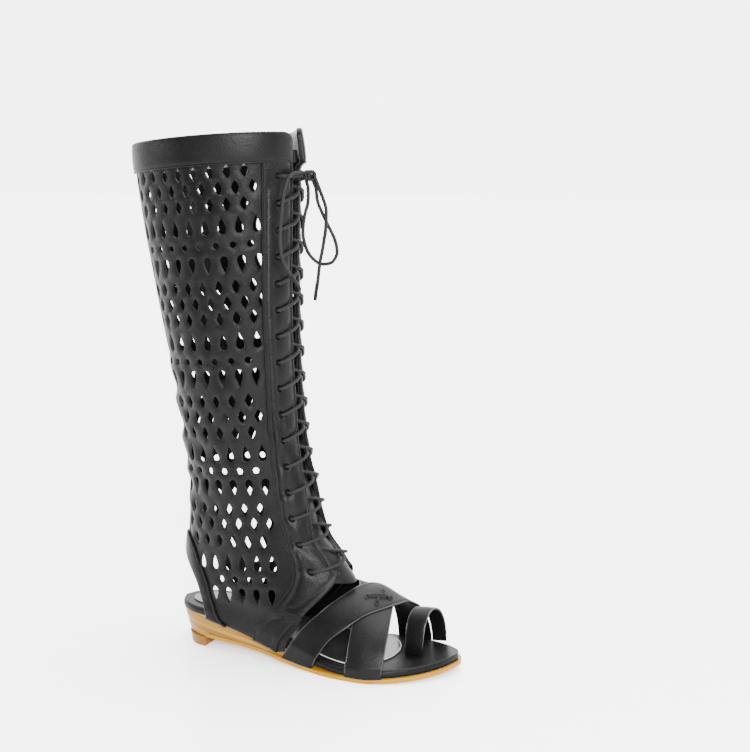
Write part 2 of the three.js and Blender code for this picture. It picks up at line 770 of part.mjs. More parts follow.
// Point over the forefoot at x and a turn from the outer edge, 0, to the inner one, 1
function archPoint(x, turn, grow) {
  const share = x / FOOT_LENGTH;
  const angle = Math.PI * turn;
  const middle = BALL_WIDTH * archMiddle(share);
  const outer = turn < 0.5;
  const width = footWidth(angleAt(share), outer ? "lateral" : "medial", grow + GAP - FOOTBED_INSET);
  const span = outer ? width + middle : width - middle;
  const base = outsoleTop(x) + GAP;
  const height = INSTEP_HEIGHT * archCrown(share) + grow - base;
  const bow = Math.sin(angle) ** (outer ? archFlank(share) : 1);
  const z = base + height * bow;
  const seat = 1 - THREE.MathUtils.smoothstep((z - footbedTop(x)) / FOOTBED_THICKNESS, 0.2, 1.2);
  const inward = THREE.MathUtils.lerp(span * (1 - Math.abs(Math.cos(angle))), 0, seat);
  return new THREE.Vector3(x, middle + (outer ? inward - span : span - inward), z);
}

// Band over the foot between two edges of a table
function strapBand(rows, surface, thickness) {
  const rear = smooth(rows, "rear", "turn");
  const front = smooth(rows, "front", "turn");
  const raise = rows[0].lift === undefined ? () => 0 : smooth(rows, "lift", "turn");
  const rings = [];
  for (let i = 0; i <= STRAP_STEPS; i++) {
    const even = i / STRAP_STEPS;
    const turn = even - 0.09 * Math.sin(2 * Math.PI * even);
    const low = GAP + raise(turn) * (STRAP_THICKNESS - GAP / 2);
    const places = [0, 0.5, 1].map((share) => {
      return FOOT_LENGTH * (rear(turn) + share * (front(turn) - rear(turn)));
    });
    const outside = places.map((x) => surface(x, turn, low + thickness));
    const inside = places.map((x) => surface(x, turn, low)).reverse();
    rings.push([...outside, ...inside]);
  }
  return loft(rings);
}

// Two straps that cross over the forefoot and are sewn where they meet
function makeCrossStraps() {
  const over = strapBand(UPPER_STRAP, archPoint, STRAP_THICKNESS);
  return over.add(strapBand(LOWER_STRAP, archPoint, STRAP_THICKNESS));
}

// Ring for the big toe, standing on the footbed
function makeToeRing() {
  const middle = BALL_WIDTH * 0.2;
  const surface = (x, turn, grow) => {
    const angle = Math.PI * turn;
    const base = footbedTop(x) + GAP;
    const bow = Math.sin(angle) ** 0.75;
    const y = middle - (TOE_RING_BORE / 2 + grow) * Math.cos(angle);
    return new THREE.Vector3(x, y, base + (TOE_RING_RISE + grow) * bow);
  };
  return strapBand(TOE_RING, surface, STRAP_THICKNESS);
}

// Lace: two strands climb from side to side and cross in front of the tongue
function makeLacing() {
  const reach = UPPER_GROW + GAP + OVERLAY + LACE_CLEARANCE + LACE_DIAMETER / 2;
  const top = levelHeight(EYELETS[EYELETS.length - 1].level);
  const bottom = levelHeight(EYELETS[0].level);
  const eyelet = (row, side) => {
    const z = top + ((bottom - top) * row) / (LACE_ROWS - 1);
    const y = CALF_WIDTH * eyeletHalf(z);
    const seen = (point, length) => length > HOLE_PERIOD && Math.abs(point.y) <= y;
    return { z, turn: Math.abs(angleAlong(z, side, seen).angle), side };
  };
  const strand = (from, to) => {
    const steps = from.z < levelHeight(1.45) ? 4 : 3;
    const turns = [from.side * (Math.PI - from.turn), to.side * (Math.PI - to.turn)];
    const route = Array.from({ length: steps + 1 }, (_, i) => {
      const share = i / steps;
      const turn = turns[0] + (turns[1] - turns[0]) * share;
      const bulge = i > 0 && i < steps ? (2 * LACE_DIAMETER) / steps : 0;
      const z = from.z + (to.z - from.z) * share;
      const angle = turn < 0 ? -Math.PI - turn : Math.PI - turn;
      return shaftPoint(z, angle, reach + bulge).toArray();
    });
    return cord(route, LACE_DIAMETER, 4, steps);
  };
  const strands = [strand(eyelet(LACE_ROWS - 1, -1), eyelet(LACE_ROWS - 1, 1))];
  for (let row = LACE_ROWS - 1; row > 0; row--) {
    for (const side of [-1, 1]) strands.push(strand(eyelet(row, side), eyelet(row - 1, -side)));
  }
  return wasm.Manifold.union(strands);
}

// Knot of the bow, as one rounded lump
function makeKnot() {
  const geometry = new THREE.SphereGeometry(0.5, 10, 7);
  return solid(geometry.scale(...KNOT_SIZE).translate(...KNOT_CENTRE));
}

// Small cross of lace sewn on the upper strap
function makeCrossStitch() {
  const lifted = GAP + STRAP_THICKNESS * 2 + 2 * GAP + STITCH_DIAMETER / 2;
  const bars = [-1, 1].map((lean) => {
    const ends = [-1, 0, 1].map((end) => {
      const arm = lean > 0 ? STITCH_ARMS.long : STITCH_ARMS.short;
      const x = FOOT_LENGTH * (STITCH_CENTRE.at + end * arm.at);
      return archPoint(x, STITCH_CENTRE.turn + end * arm.turn, lifted).toArray();
    });
    return cord(ends, STITCH_DIAMETER, 6, 2);
  });
  return bars[0].add(bars[1]);
}

// Materials
const leather = { color: 0x1b1b1c, roughness: 0.45, metalness: 0 };
const smoothLeather = { color: 0x202022, roughness: 0.38, metalness: 0 };
const shinyLining = { color: 0x55575a, roughness: 0.25, metalness: 0 };
const wood = { color: 0xc08a4e, roughness: 0.55, metalness: 0 };
const tanRubber = { color: 0xd9a446, roughness: 0.5, metalness: 0 };
const laceCord = { color: 0x141414, roughness: 0.75, metalness: 0 };

// The sandal, measured from the middle of the heel lift's underside
const sandal = new THREE.Group();
const originX = (HEEL_LIFT_BACK + HEEL_LIFT_FRONT) / 2;

function addPiece(name, piece, look, shift = -originX) {
  const { vertProperties, triVerts } = piece.getMesh();
  const geometry = new THREE.BufferGeometry();
  geometry.setAttribute("position", new THREE.BufferAttribute(vertProperties, 3));
  geometry.setIndex(new THREE.BufferAttribute(triVerts, 1));
  geometry.computeVertexNormals();
  const mesh = new THREE.Mesh(geometry, new THREE.MeshStandardMaterial(look));
  mesh.name = name;
  mesh.position.x = shift;
  sandal.add(mesh);
}

addPiece("outsole", makeOutsole(), tanRubber);
addPiece("wedge", makeWedge(), wood);
addPiece("heel_lift", makeHeelLift(), wood);
addPiece("footbed", makeFootbed(), smoothLeather);
addPiece("insole_sock", makeInsole(), shinyLining);
addPiece("upper", makeUpper(), leather);
addPiece("top_band", makeBand(), smoothLeather);
addPiece("eyestay_lateral", makeStay(-1), smoothLeather);
addPiece("eyestay_medial", makeStay(1), smoothLeather);
addPiece("heel_strip", makeStrip(), smoothLeather);
addPiece("tongue", makeTongue(), leather);
addPiece("cross_straps", makeCrossStraps(), smoothLeather);
addPiece("toe_ring", makeToeRing(), smoothLeather);
addPiece("cross_stitch", makeCrossStitch(), laceCord);
addPiece("lace_crossings", makeLacing(), laceCord);
addPiece("lace_knot", makeKnot(), laceCord, 0);
addPiece("lace_front_loop", cord(FRONT_LOOP_ROUTE, LACE_DIAMETER, CORD_SIDES, 30), laceCord, 0);
addPiece("lace_front_end", cord(FRONT_END_ROUTE, LACE_DIAMETER, CORD_SIDES, 15), laceCord, 0);
addPiece("lace_side_end", cord(SIDE_END_ROUTE, LACE_DIAMETER, CORD_SIDES, 16), laceCord, 0);

export default sandal;
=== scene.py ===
"""Knee-high gladiator sandal with a laced shaft, the right shoe of a pair.

The script is laid out as a Blender add-on. Lengths are millimetres in the shoe's own frame:
x from the back of the heel to the toes, y to the wearer's inner side, z up from the floor.
They become metres, measured from the middle of the heel lift, when a mesh is made.
"""
import math

import bpy
import numpy as np
from bpy.props import FloatProperty, FloatVectorProperty, PointerProperty
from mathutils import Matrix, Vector
from mathutils.geometry import delaunay_2d_cdt


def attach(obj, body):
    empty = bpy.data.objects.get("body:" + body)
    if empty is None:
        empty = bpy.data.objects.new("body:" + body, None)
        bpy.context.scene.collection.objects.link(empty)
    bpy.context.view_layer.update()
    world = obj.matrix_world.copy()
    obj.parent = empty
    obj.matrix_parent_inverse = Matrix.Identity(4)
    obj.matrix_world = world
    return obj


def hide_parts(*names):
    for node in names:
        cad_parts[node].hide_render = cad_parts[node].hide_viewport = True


bl_info = {
    "name": "Gladiator sandal",
    "version": (1, 0, 0),
    "blender": (4, 5, 0),
    "location": "3D View > Sidebar > Sandal",
    "description": "Dresses the packed model of a knee-high gladiator sandal",
    "category": "Add Mesh",
}

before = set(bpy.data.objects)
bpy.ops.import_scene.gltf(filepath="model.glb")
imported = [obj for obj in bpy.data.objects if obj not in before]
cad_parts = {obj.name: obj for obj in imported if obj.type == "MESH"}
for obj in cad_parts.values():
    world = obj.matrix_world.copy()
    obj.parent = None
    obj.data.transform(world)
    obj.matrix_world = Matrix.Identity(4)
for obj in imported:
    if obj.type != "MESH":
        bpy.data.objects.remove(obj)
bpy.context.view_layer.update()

# Sizes of the sole
FOOT_LENGTH = 252.0
BALL_WIDTH = 93.6
OUTSOLE_THICKNESS = 3.3
FOOTBED_THICKNESS = 5.7
HEEL_RISE = 24.9
TOE_SPRING = 5.3
HEEL_LIFT_HEIGHT = 9.0
HEEL_LIFT_BACK = 12.0
HEEL_LIFT_FRONT = 36.0
HEEL_LIFT_WIDTH = 52.0
HEEL_RAKE = 6.5
INSOLE_THICKNESS = 1.0
INSOLE_MARGIN = 8.5

# Sizes of the upper
SHAFT_HEIGHT = 429.0
RIM_DROP = 10.2
CALF_WIDTH = 96.0
BAND_HEIGHT = 23.5
THROAT_GAP = 10.0
TONGUE_WIDTH = 46.0
ROW_TILT = 0.085
ROW_START = 85.0
HOLE_PITCH = 14.0

# Sizes of the straps and the lace
STRAP_THICKNESS = 1.6
INSTEP_HEIGHT = 84.0
TOE_RING_BORE = 35.0
TOE_RING_RISE = 32.0
TOE_RING_PLACE = 0.2
LACE_ROWS = 16

# Ends of single pieces: shares of the foot's length, a level, and millimetres under the rim,
# over it and beside the middle of the throat
WEDGE_END = 0.565
INSOLE_END = 0.795
INSOLE_CURVE = 0.1
TONGUE_FOOT_LEVEL = 1.0805
TONGUE_DROP = 14.0
CORNER_RAISE = 3.6
RIM_END = 13.0

GAP = 0.3
FOREFOOT_THICKNESS = OUTSOLE_THICKNESS + FOOTBED_THICKNESS + GAP
HEEL_HEIGHT = FOREFOOT_THICKNESS + HEEL_RISE
FOOTBED_INSET = STRAP_THICKNESS + 3 * GAP
WALL = 1.8
OVERLAY = 1.4
UPPER_GROW = WALL + 2 * GAP - FOOTBED_INSET
ORIGIN = np.array([(HEEL_LIFT_BACK + HEEL_LIFT_FRONT) / 2, 0.0, 0.0])
MM = 0.001

# Millimetres of leather for one radian round the shaft, used to lay the leather out flat
FLAT = 52.0

# The photograph's camera: pixels of its lens and frame, place in metres and line of sight
PHOTO_LENS = 1300.0
PHOTO_HEIGHT = 752.0
SENSOR = 36.0
CAMERA_PLACE = (0.5557, -0.9348, 0.4081)
CAMERA_SIGHT = (-0.387, 0.907, -0.165)


def table(names, *lines):
    """Rows of numbers under named columns."""
    return [dict(zip(names.split(), line)) for line in lines]


def smooth(rows, column, key="at"):
    """Smooth curve through a column: cubic pieces with harmonic mean slopes, no overshoot."""
    t = np.array([row[key] for row in rows], float)
    v = np.array([row[column] for row in rows], float)
    slope = np.diff(v) / np.diff(t)
    before = np.concatenate([slope[:1], slope])
    after = np.concatenate([slope, slope[-1:]])
    total = np.where(before + after == 0, 1, before + after)
    tangent = np.where(before * after > 0, 2 * before * after / total, 0)

    def curve(x):
        x = np.clip(np.asarray(x, float), t[0], t[-1])
        i = np.clip(np.searchsorted(t, x, side="right") - 1, 0, len(t) - 2)
        h = t[i + 1] - t[i]
        u = (x - t[i]) / h
        lean = u * (1 - u) ** 2 * tangent[i] - u * u * (1 - u) * tangent[i + 1]
        return v[i] + (v[i + 1] - v[i]) * u * u * (3 - 2 * u) + h * lean

    return curve


def level_height(level):
    """Level 0 is the floor, 1 the footbed at the heel and 2 the top of the shaft's front."""
    level = np.asarray(level, float)
    shaft = HEEL_HEIGHT + (level - 1) * (SHAFT_HEIGHT - HEEL_HEIGHT)
    return np.where(level < 1, level * HEEL_HEIGHT, shaft)


def level_z(level):
    """level_height of one level, as a plain number."""
    return float(level_height(level))


def with_heights(rows):
    """Rows with the height z of their level added."""
    return [dict(row, z=level_z(row["level"])) for row in rows]


# Plan of the foot: shares of its length, half widths as shares of the ball width
OUTLINE = table(
    "at medial lateral",
    (0, 0, 0),
    (0.015, 0.122, 0.122),
    (0.05, 0.217, 0.217),
    (0.1, 0.278, 0.283),
    (0.16, 0.306, 0.317),
    (0.3, 0.311, 0.344),
    (0.42, 0.322, 0.389),
    (0.55, 0.378, 0.456),
    (0.66, 0.456, 0.506),
    (0.73, 0.489, 0.511),
    (0.8, 0.483, 0.472),
    (0.87, 0.439, 0.378),
    (0.93, 0.361, 0.244),
    (0.97, 0.272, 0.111),
    (0.99, 0.2, 0),
    (1, 0.1, -0.1),
)

# Side line of the sole: shares of the heel's rise, the toe spring and the heel lift
SIDE_LINE = table(
    "at rise spring lift",
    (0, 1, 0, 1),
    (0.12, 0.968, 0, 1),
    (0.15, 0.952, 0, 0.96),
    (0.3, 0.775, 0, 0.72),
    (0.35, 0.683, 0, 0.6),
    (0.45, 0.45, 0, 0.33),
    (0.55, 0.215, 0, 0.07),
    (0.6, 0.1, 0, 0),
    (0.7, 0, 0, 0),
    (0.75, 0, 0, 0),
    (0.8, 0, 0.09, 0),
    (0.85, 0, 0.22, 0),
    (0.9, 0, 0.38, 0),
    (1, 0, 1, 0),
)

# Level sections of the shaft: ends in foot lengths, half width in calf widths
SHAFT = with_heights(table(
    "level back front half",
    (-0.2, 0, 1, 0.344),
    (1.005, 0, 1, 0.344),
    (1.035, 0.008, 0.754, 0.344),
    (1.065, 0.018, 0.683, 0.344),
    (1.096, 0.026, 0.641, 0.339),
    (1.129, 0.032, 0.602, 0.333),
    (1.167, 0.038, 0.552, 0.333),
    (1.217, 0.045, 0.52, 0.336),
    (1.268, 0.047, 0.5, 0.344),
    (1.319, 0.038, 0.478, 0.359),
    (1.369, 0.031, 0.461, 0.38),
    (1.42, 0.02, 0.453, 0.406),
    (1.521, -0.007, 0.441, 0.432),
    (1.623, -0.038, 0.437, 0.458),
    (1.724, -0.069, 0.437, 0.474),
    (1.825, -0.098, 0.441, 0.488),
    (1.927, -0.12, 0.443, 0.496),
    (2.003, -0.126, 0.443, 0.5),
    (2.04, -0.128, 0.443, 0.5),
))

# How far a quarter takes the foot's plan, by its height over the footbed in heel rises
FOOT_BLEND = table("at foot", (0.08, 1), (0.56, 0.5), (1.04, 0.2), (1.53, 0.05), (2.05, 0))

# Edges of the upper seen from the side: shares of the foot's length, and levels
SEAM = table(
    "at level",
    (0.335, 0.1),
    (0.345, 0.485),
    (0.355, 0.76),
    (0.375, 1),
    (0.41, 1.025),
    (0.44, 1.047),
    (0.461, 1.065),
    (0.474, 1.08),
    (0.48, 1.097),
    (0.479, 1.113),
    (0.473, 1.13),
    (0.455, 1.16),
    (0.428, 1.223),
    (0.413, 1.276),
    (0.397, 1.38),
    (0.388, 1.504),
    (0.382, 1.667),
    (0.386, 1.865),
    (0.389, 2.04),
)
FRONT_EDGE = table(
    "at level",
    (0.435, 0.3),
    (0.437, 0.42),
    (0.45, 0.646),
    (0.477, 0.915),
    (0.517, 1.02),
    (0.549, 1.043),
    (0.578, 1.064),
    (0.598, 1.081),
    (0.608, 1.094),
    (0.61, 1.104),
)
STRIP_FRONT = table(
    "at level",
    (0.03, 1.149),
    (0.045, 1.149),
    (0.08, 1.14),
    (0.116, 1.104),
    (0.143, 1.078),
    (0.164, 1.05),
    (0.184, 1.013),
    (0.202, 0.868),
    (0.22, 0.713),
    (0.236, 0.672),
)
STRIP_REAR = table(
    "at level",
    (0.03, 1.107),
    (0.04, 1.106),
    (0.052, 1.098),
    (0.09, 1.075),
    (0.123, 1.047),
    (0.147, 1.009),
    (0.156, 0.868),
    (0.159, 0.775),
)
LOWER_EDGE = table("at level", (0.159, 0.775), (0.235, 0.672), (0.35, 0.465), (0.435, 0.3))

# Half width of the opening between the stays, in throat gaps
THROAT = with_heights(table(
    "level half",
    (1.03, 1.45),
    (1.1, 1.4),
    (1.14, 1.3),
    (1.17, 1.25),
    (1.22, 1.1),
    (1.28, 0.95),
    (1.38, 0.65),
    (1.5, 0.5),
    (1.965, 0.5),
    (1.982, 0.58),
    (1.993, 0.85),
    (2, 1.3),
    (2.06, 1.5),
))

# Eyelets beside the throat: how far they lie from the middle, in calf widths
EYELETS = with_heights(table(
    "level half",
    (1.11, 0.245),
    (1.155, 0.228),
    (1.21, 0.224),
    (1.26, 0.22),
    (1.32, 0.203),
    (1.42, 0.2),
    (1.55, 0.196),
    (1.913, 0.198),
))

# The foremost column of holes
HOLE_COLUMN = with_heights(table(
    "level at",
    (1.04, 0.411),
    (1.12, 0.409),
    (1.3, 0.382),
    (1.5, 0.363),
    (1.67, 0.36),
    (2, 0.368),
))

# Rows of the punched pattern from the rim down: height, outline, columns shifted by half a
# pitch, and millimetres forward of the foremost column
HOLE_ROWS = (
    (399.2, "diamond", 1, 0),
    (386.8, "diamond", 0, 0),
    (373.9, "diamond", 1, 0),
    (357.8, "drop", 0, 3),
    (342.1, "round", 1, 5),
    (326.8, "fallen drop", 0, 5),
    (309.3, "diamond", 1, 7),
    (296.7, "diamond", 0, 7),
    (284.0, "diamond", 1, 7),
    (265.7, "drop", 0, 2),
    (249.9, "round", 1, 1),
    (235.7, "fallen drop", 0, 0),
    (217.0, "diamond", 1, 0),
    (203.8, "diamond", 0, 0),
    (190.8, "diamond", 1, 0),
    (173.1, "drop", 0, 0),
    (158.6, "round", 1, 0),
    (144.6, "fallen drop", 0, 0),
    (125.6, "diamond", 1, 0),
    (113.5, "diamond", 0, 0),
    (99.1, "diamond", 1, 0),
    (80.8, "drop", 0, 0),
    (66.2, "round", 1, 0),
    (52.4, "fallen drop", 0, 0),
)

# Soft folds of the leather: turn round the shaft in degrees, height, half length, half width,
# slope in degrees, and depth
FOLDS = table(
    "turn z length width slope depth",
    (-38, 236, 30, 7, 12, 0.9),
    (-30, 212, 26, 6, -18, 1.3),
    (-46, 196, 30, 7, 28, 1.2),
    (-28, 180, 24, 6, -22, 1.5),
    (-55, 163, 34, 8, 24, 1.3),
    (-24, 150, 24, 6, 10, 1.5),
    (-62, 140, 30, 7, -30, 1.0),
    (-34, 122, 26, 7, 26, 1.2),
    (-84, 176, 30, 9, 62, 0.9),
    (-92, 232, 40, 10, 78, 0.7),
    (-142, 182, 20, 6, -38, 1.1),
    (-146, 158, 22, 6, -34, 1.3),
    (-140, 134, 22, 6, -40, 1.2),
    (-133, 108, 24, 7, -44, 1.0),
    (36, 224, 28, 7, -16, 1.1),
    (28, 190, 26, 7, 20, 1.3),
    (44, 166, 30, 7, -26, 1.2),
    (30, 142, 24, 6, 18, 1.3),
    (142, 170, 22, 6, 36, 1.2),
    (138, 136, 22, 6, 40, 1.1),
)

# Arch of the forefoot under the straps
ARCH = table(
    "at crown middle flank",
    (0.4, 1, 0.107, 1.2),
    (0.5, 0.857, 0.128, 1.2),
    (0.571, 0.768, 0.15, 1.25),
    (0.623, 0.714, 0.171, 1.25),
    (0.659, 0.685, 0.192, 1.25),
    (0.702, 0.661, 0.214, 1.2),
    (0.73, 0.625, 0.214, 1.15),
    (0.77, 0.565, 0.214, 1.05),
    (0.794, 0.542, 0.203, 1),
    (0.817, 0.524, 0.192, 1),
    (0.849, 0.518, 0.182, 1),
    (0.889, 0.488, 0.171, 1),
)

# Edges of the straps: turn is 0 at the outer edge of the foot and 1 at the inner one
UPPER_STRAP = table(
    "turn rear front lift",
    (0, 0.45, 0.57, 0),
    (0.055, 0.472, 0.583, 0),
    (0.155, 0.517, 0.62, 0.3),
    (0.265, 0.576, 0.694, 1),
    (0.37, 0.624, 0.754, 1),
    (0.455, 0.65, 0.787, 1),
    (0.52, 0.674, 0.803, 1),
    (0.61, 0.694, 0.82, 1),
    (0.75, 0.714, 0.837, 0.5),
    (0.88, 0.726, 0.85, 0),
    (1, 0.73, 0.853, 0),
)
LOWER_STRAP = table(
    "turn rear front",
    (0, 0.692, 0.811),
    (0.1, 0.692, 0.812),
    (0.235, 0.685, 0.806),
    (0.38, 0.664, 0.784),
    (0.5, 0.634, 0.752),
    (0.61, 0.6, 0.718),
    (0.75, 0.542, 0.674),
    (0.88, 0.49, 0.618),
    (1, 0.464, 0.592),
)
TOE_RING = table(
    "turn rear front",
    (0, 0.823, 0.885),
    (0.25, 0.822, 0.887),
    (0.5, 0.828, 0.892),
    (0.75, 0.848, 0.903),
    (1, 0.862, 0.912),
)

# Centre lines of the bow's cords, in metres
FRONT_LOOP_ROUTE = (
    (0.0972, 0.0022, 0.3892),
    (0.0988, 0.001, 0.3845),
    (0.0995, -0.001, 0.3737),
    (0.0972, -0.0026, 0.3629),
    (0.096, -0.0032, 0.35),
    (0.0975, -0.0024, 0.34),
    (0.1005, -0.001, 0.3326),
    (0.1048, 0.001, 0.3275),
    (0.1079, 0.003, 0.3253),
    (0.1125, 0.0035, 0.3251),
    (0.1181, 0.004, 0.3268),
    (0.1219, 0.004, 0.3322),
    (0.1223, 0.004, 0.3374),
    (0.1201, 0.004, 0.3456),
    (0.1142, 0.0045, 0.3562),
    (0.1073, 0.005, 0.3691),
    (0.1046, 0.0055, 0.3759),
    (0.1036, 0.0054, 0.3844),
    (0.1018, 0.005, 0.3894),
)
FRONT_END_ROUTE = (
    (0.1052, 0.0009, 0.3928),
    (0.11, -0.002, 0.3849),
    (0.1145, -0.004, 0.3762),
    (0.1163, -0.0046, 0.3721),
    (0.1173, -0.005, 0.3678),
    (0.1173, -0.005, 0.3607),
    (0.1165, -0.005, 0.3508),
    (0.1158, -0.005, 0.3472),
    (0.1138, -0.005, 0.3365),
    (0.1127, -0.005, 0.332),
    (0.1117, -0.005, 0.3273),
    (0.1105, -0.0045, 0.3212),
    (0.1092, -0.004, 0.3125),
    (0.1075, -0.0035, 0.3046),
    (0.1061, -0.003, 0.2965),
)
SIDE_END_ROUTE = (
    (0.0972, -0.0033, 0.397),
    (0.0938, -0.0114, 0.3968),
    (0.0923, -0.0156, 0.3955),
    (0.0912, -0.019, 0.3926),
    (0.0889, -0.0202, 0.385),
    (0.0882, -0.0212, 0.3792),
    (0.0877, -0.0223, 0.373),
    (0.0868, -0.0234, 0.36),
    (0.0863, -0.0238, 0.3524),
    (0.086, -0.024, 0.345),
    (0.0866, -0.0226, 0.333),
    (0.0881, -0.022, 0.3278),
    (0.0902, -0.0209, 0.3226),
    (0.0939, -0.0164, 0.3138),
    (0.097, -0.0116, 0.3056),
)

# The bow's knot: rings by their place along it, size and slant, and two wraps over its front
# by their height, slope and depth, in millimetres round its centre in metres
KNOT_CENTRE = (0.0984, 0.0034, 0.3946)
KNOT_RINGS = ((-13.5, 2.9, -0.7), (-6.5, 2.9, 0.9), (-1.5, 3.3, -0.5), (3.2, 3.0, 0.5))
KNOT_WRAPS = ((1.9, 1.4, -3.2), (-2.0, -0.9, -2.6))

# A run of lace from eyelet to eyelet: shares of the way across, and of the climb by side
LACE_SHARES = np.array([0, 0.0, 0.06, 0.2, 0.36, 0.5, 0.66, 0.84, 1.0])
LACE_CLIMBS = {-1: np.array([0, 0, 0.04, 0.15, 0.27, 0.42, 0.62, 0.84, 1.0]),
               1: np.array([0, 0, 0.12, 0.34, 0.48, 0.58, 0.7, 0.86, 1.0])}

# Small cross of cord: ends by share of the foot's length and turn, and rise at the middle
CROSS_CORDS = (((0.6954, 0.3903), (0.7558, 0.4529), 0.9),
               ((0.7328, 0.3837), (0.7258, 0.4602), 0.0))

# Rings of the heel lift: height, and how far it is drawn in
HEEL_LIFT_RINGS = ((0, 0.9), (0.5, 0.25), (0.9, 0), (4.5, 0), (8.2, 0), (8.7, 0.15))

# Foot of the throat, where the stays' front edges end and the opening begins
THROAT_FOOT = level_z(FRONT_EDGE[-1]["level"]) + 4

half_medial = smooth(OUTLINE, "medial")
half_lateral = smooth(OUTLINE, "lateral")
rise = smooth(SIDE_LINE, "rise")
spring = smooth(SIDE_LINE, "spring")
lift = smooth(SIDE_LINE, "lift")
foot_blend = smooth(FOOT_BLEND, "foot")
shaft_back = smooth(SHAFT, "back", "z")
shaft_front = smooth(SHAFT, "front", "z")
shaft_half = smooth(SHAFT, "half", "z")
throat_half = smooth(THROAT, "half", "z")
eyelet_half = smooth(EYELETS, "half", "z")
hole_column = smooth(HOLE_COLUMN, "at", "z")
arch_crown = smooth(ARCH, "crown")
arch_middle = smooth(ARCH, "middle")
arch_flank = smooth(ARCH, "flank")


# Surfaces


def floor_line(x):
    """Underside of the sole at x."""
    return HEEL_LIFT_HEIGHT * lift(x / FOOT_LENGTH) + TOE_SPRING * spring(x / FOOT_LENGTH)


def footbed_top(x):
    """Upper side of the footbed at x."""
    share = np.asarray(x) / FOOT_LENGTH
    return FOREFOOT_THICKNESS + HEEL_RISE * rise(share) + TOE_SPRING * spring(share)


def outsole_top(x):
    """Upper side of the outsole at x: its thickness over the underside."""
    return floor_line(x) + OUTSOLE_THICKNESS


def share_at(angle):
    """Share of a length at an angle round a plan, from 0 at the back to pi at the front."""
    return (1 - np.cos(angle)) / 2


def angle_at(share):
    """Angle at a share of a length, the inverse of share_at."""
    return np.arccos(np.clip(1 - 2 * np.asarray(share), -1, 1))


def foot_width(angle, lateral, grow):
    """Half width of the foot's plan on one side, grown outwards."""
    share = share_at(angle)
    half = np.where(lateral, half_lateral(share), half_medial(share))
    return BALL_WIDTH * half + grow * np.minimum(1, 1.5 * np.sin(angle))


def smoothstep(low, high, value):
    """0 up to low and 1 from high, and between them 3t squared less 2t cubed."""
    t = np.clip((np.asarray(value, float) - low) / (high - low), 0, 1)
    return t * t * (3 - 2 * t)


def bell(value, centre, width):
    """Bell curve: e to the minus square of the distance from the centre in widths."""
    return np.exp(-((value - centre) / width) ** 2)


def folds(angle, z):
    """Soft folds: each is a ridge with a shallow valley beside it, faded along its length by
    a bell curve, and turned by its slope on the flat leather."""
    height = np.zeros(np.broadcast(angle, z).shape)
    for fold in FOLDS:
        across = FLAT * (angle - math.radians(fold["turn"]))
        up = z - fold["z"]
        cos, sin = math.cos(math.radians(fold["slope"])), math.sin(math.radians(fold["slope"]))
        along = across * cos + up * sin
        over = (up * cos - across * sin) / fold["width"]
        shape = bell(over, 0, 1) - 0.7 * bell(over, 1.6, 1)
        height = height + fold["depth"] * shape * bell(along, 0, fold["length"])
    return height


def shaft_point(angle, z, grow):
    """Point of the shaft at an angle round it, negative on the outer side, and a height.

    x runs between the back and the front of the section with the cosine of the angle. The
    half width is an oval's, blended towards the foot's plan near the footbed. The section is
    grown outwards by grow and the folds. The inner front corner flares forwards at the rim.
    """
    angle, z, grow = np.broadcast_arrays(*(np.asarray(v, float) for v in (angle, z, grow)))
    turn = np.abs(angle)
    grow = grow + UPPER_GROW + folds(angle, z)
    flare = smoothstep(2.5, 2.95, angle) * smoothstep(401, 406, z) * (5.5 - 0.14 * (z - 405))
    back = FOOT_LENGTH * shaft_back(z) - grow
    front = FOOT_LENGTH * shaft_front(z) + grow + flare
    x = back + share_at(turn) * (front - back)
    over = z - footbed_top(np.clip(x, 0, FOOT_LENGTH))
    foot = foot_blend(over / HEEL_RISE)
    oval = (CALF_WIDTH * shaft_half(z) + grow) * np.sin(turn)
    width = (1 - foot) * oval + foot * foot_width(turn, angle < 0, grow)
    return np.stack([x, np.where(angle < 0, -width, width), z], -1)


def shaft_angle(x, z):
    """Angle without sign of the shaft's surface at x and z."""
    back = FOOT_LENGTH * shaft_back(z) - UPPER_GROW
    front = FOOT_LENGTH * shaft_front(z) + UPPER_GROW
    return angle_at((np.asarray(x) - back) / (front - back))


def throat_angle(z, half):
    """Angle without sign at which the shaft's front is a half width from the middle."""
    return math.pi - np.arcsin(np.clip(half / (CALF_WIDTH * shaft_half(z)), 0, 1))


def rim_height(x):
    """Height of the rim: it drops towards the back with the power of 1.5."""
    front = FOOT_LENGTH * float(shaft_front(SHAFT_HEIGHT))
    depth = front - FOOT_LENGTH * float(shaft_back(SHAFT_HEIGHT))
    return SHAFT_HEIGHT - RIM_DROP * (np.maximum(0, front - x) / depth) ** 1.5


def arch_point(x, turn, grow):
    """Point over the forefoot: a sine arch between the foot's sides, upright beside the
    footbed."""
    x, turn, grow = np.broadcast_arrays(*(np.asarray(v, float) for v in (x, turn, grow)))
    share = x / FOOT_LENGTH
    angle = np.pi * turn
    middle = BALL_WIDTH * arch_middle(share)
    outer = turn < 0.5
    width = foot_width(angle_at(share), outer, grow + GAP - FOOTBED_INSET)
    span = np.where(outer, width + middle, width - middle)
    base = outsole_top(x) + GAP
    height = INSTEP_HEIGHT * arch_crown(share) + grow - base
    bow = np.maximum(np.sin(angle), 0) ** np.where(outer, arch_flank(share), 1)
    z = base + height * bow
    seat = 1 - smoothstep(0.2, 1.2, (z - footbed_top(x)) / FOOTBED_THICKNESS)
    inward = span * (1 - np.abs(np.cos(angle))) * (1 - seat)
    return np.stack([x, middle + np.where(outer, inward - span, span - inward), z], -1)


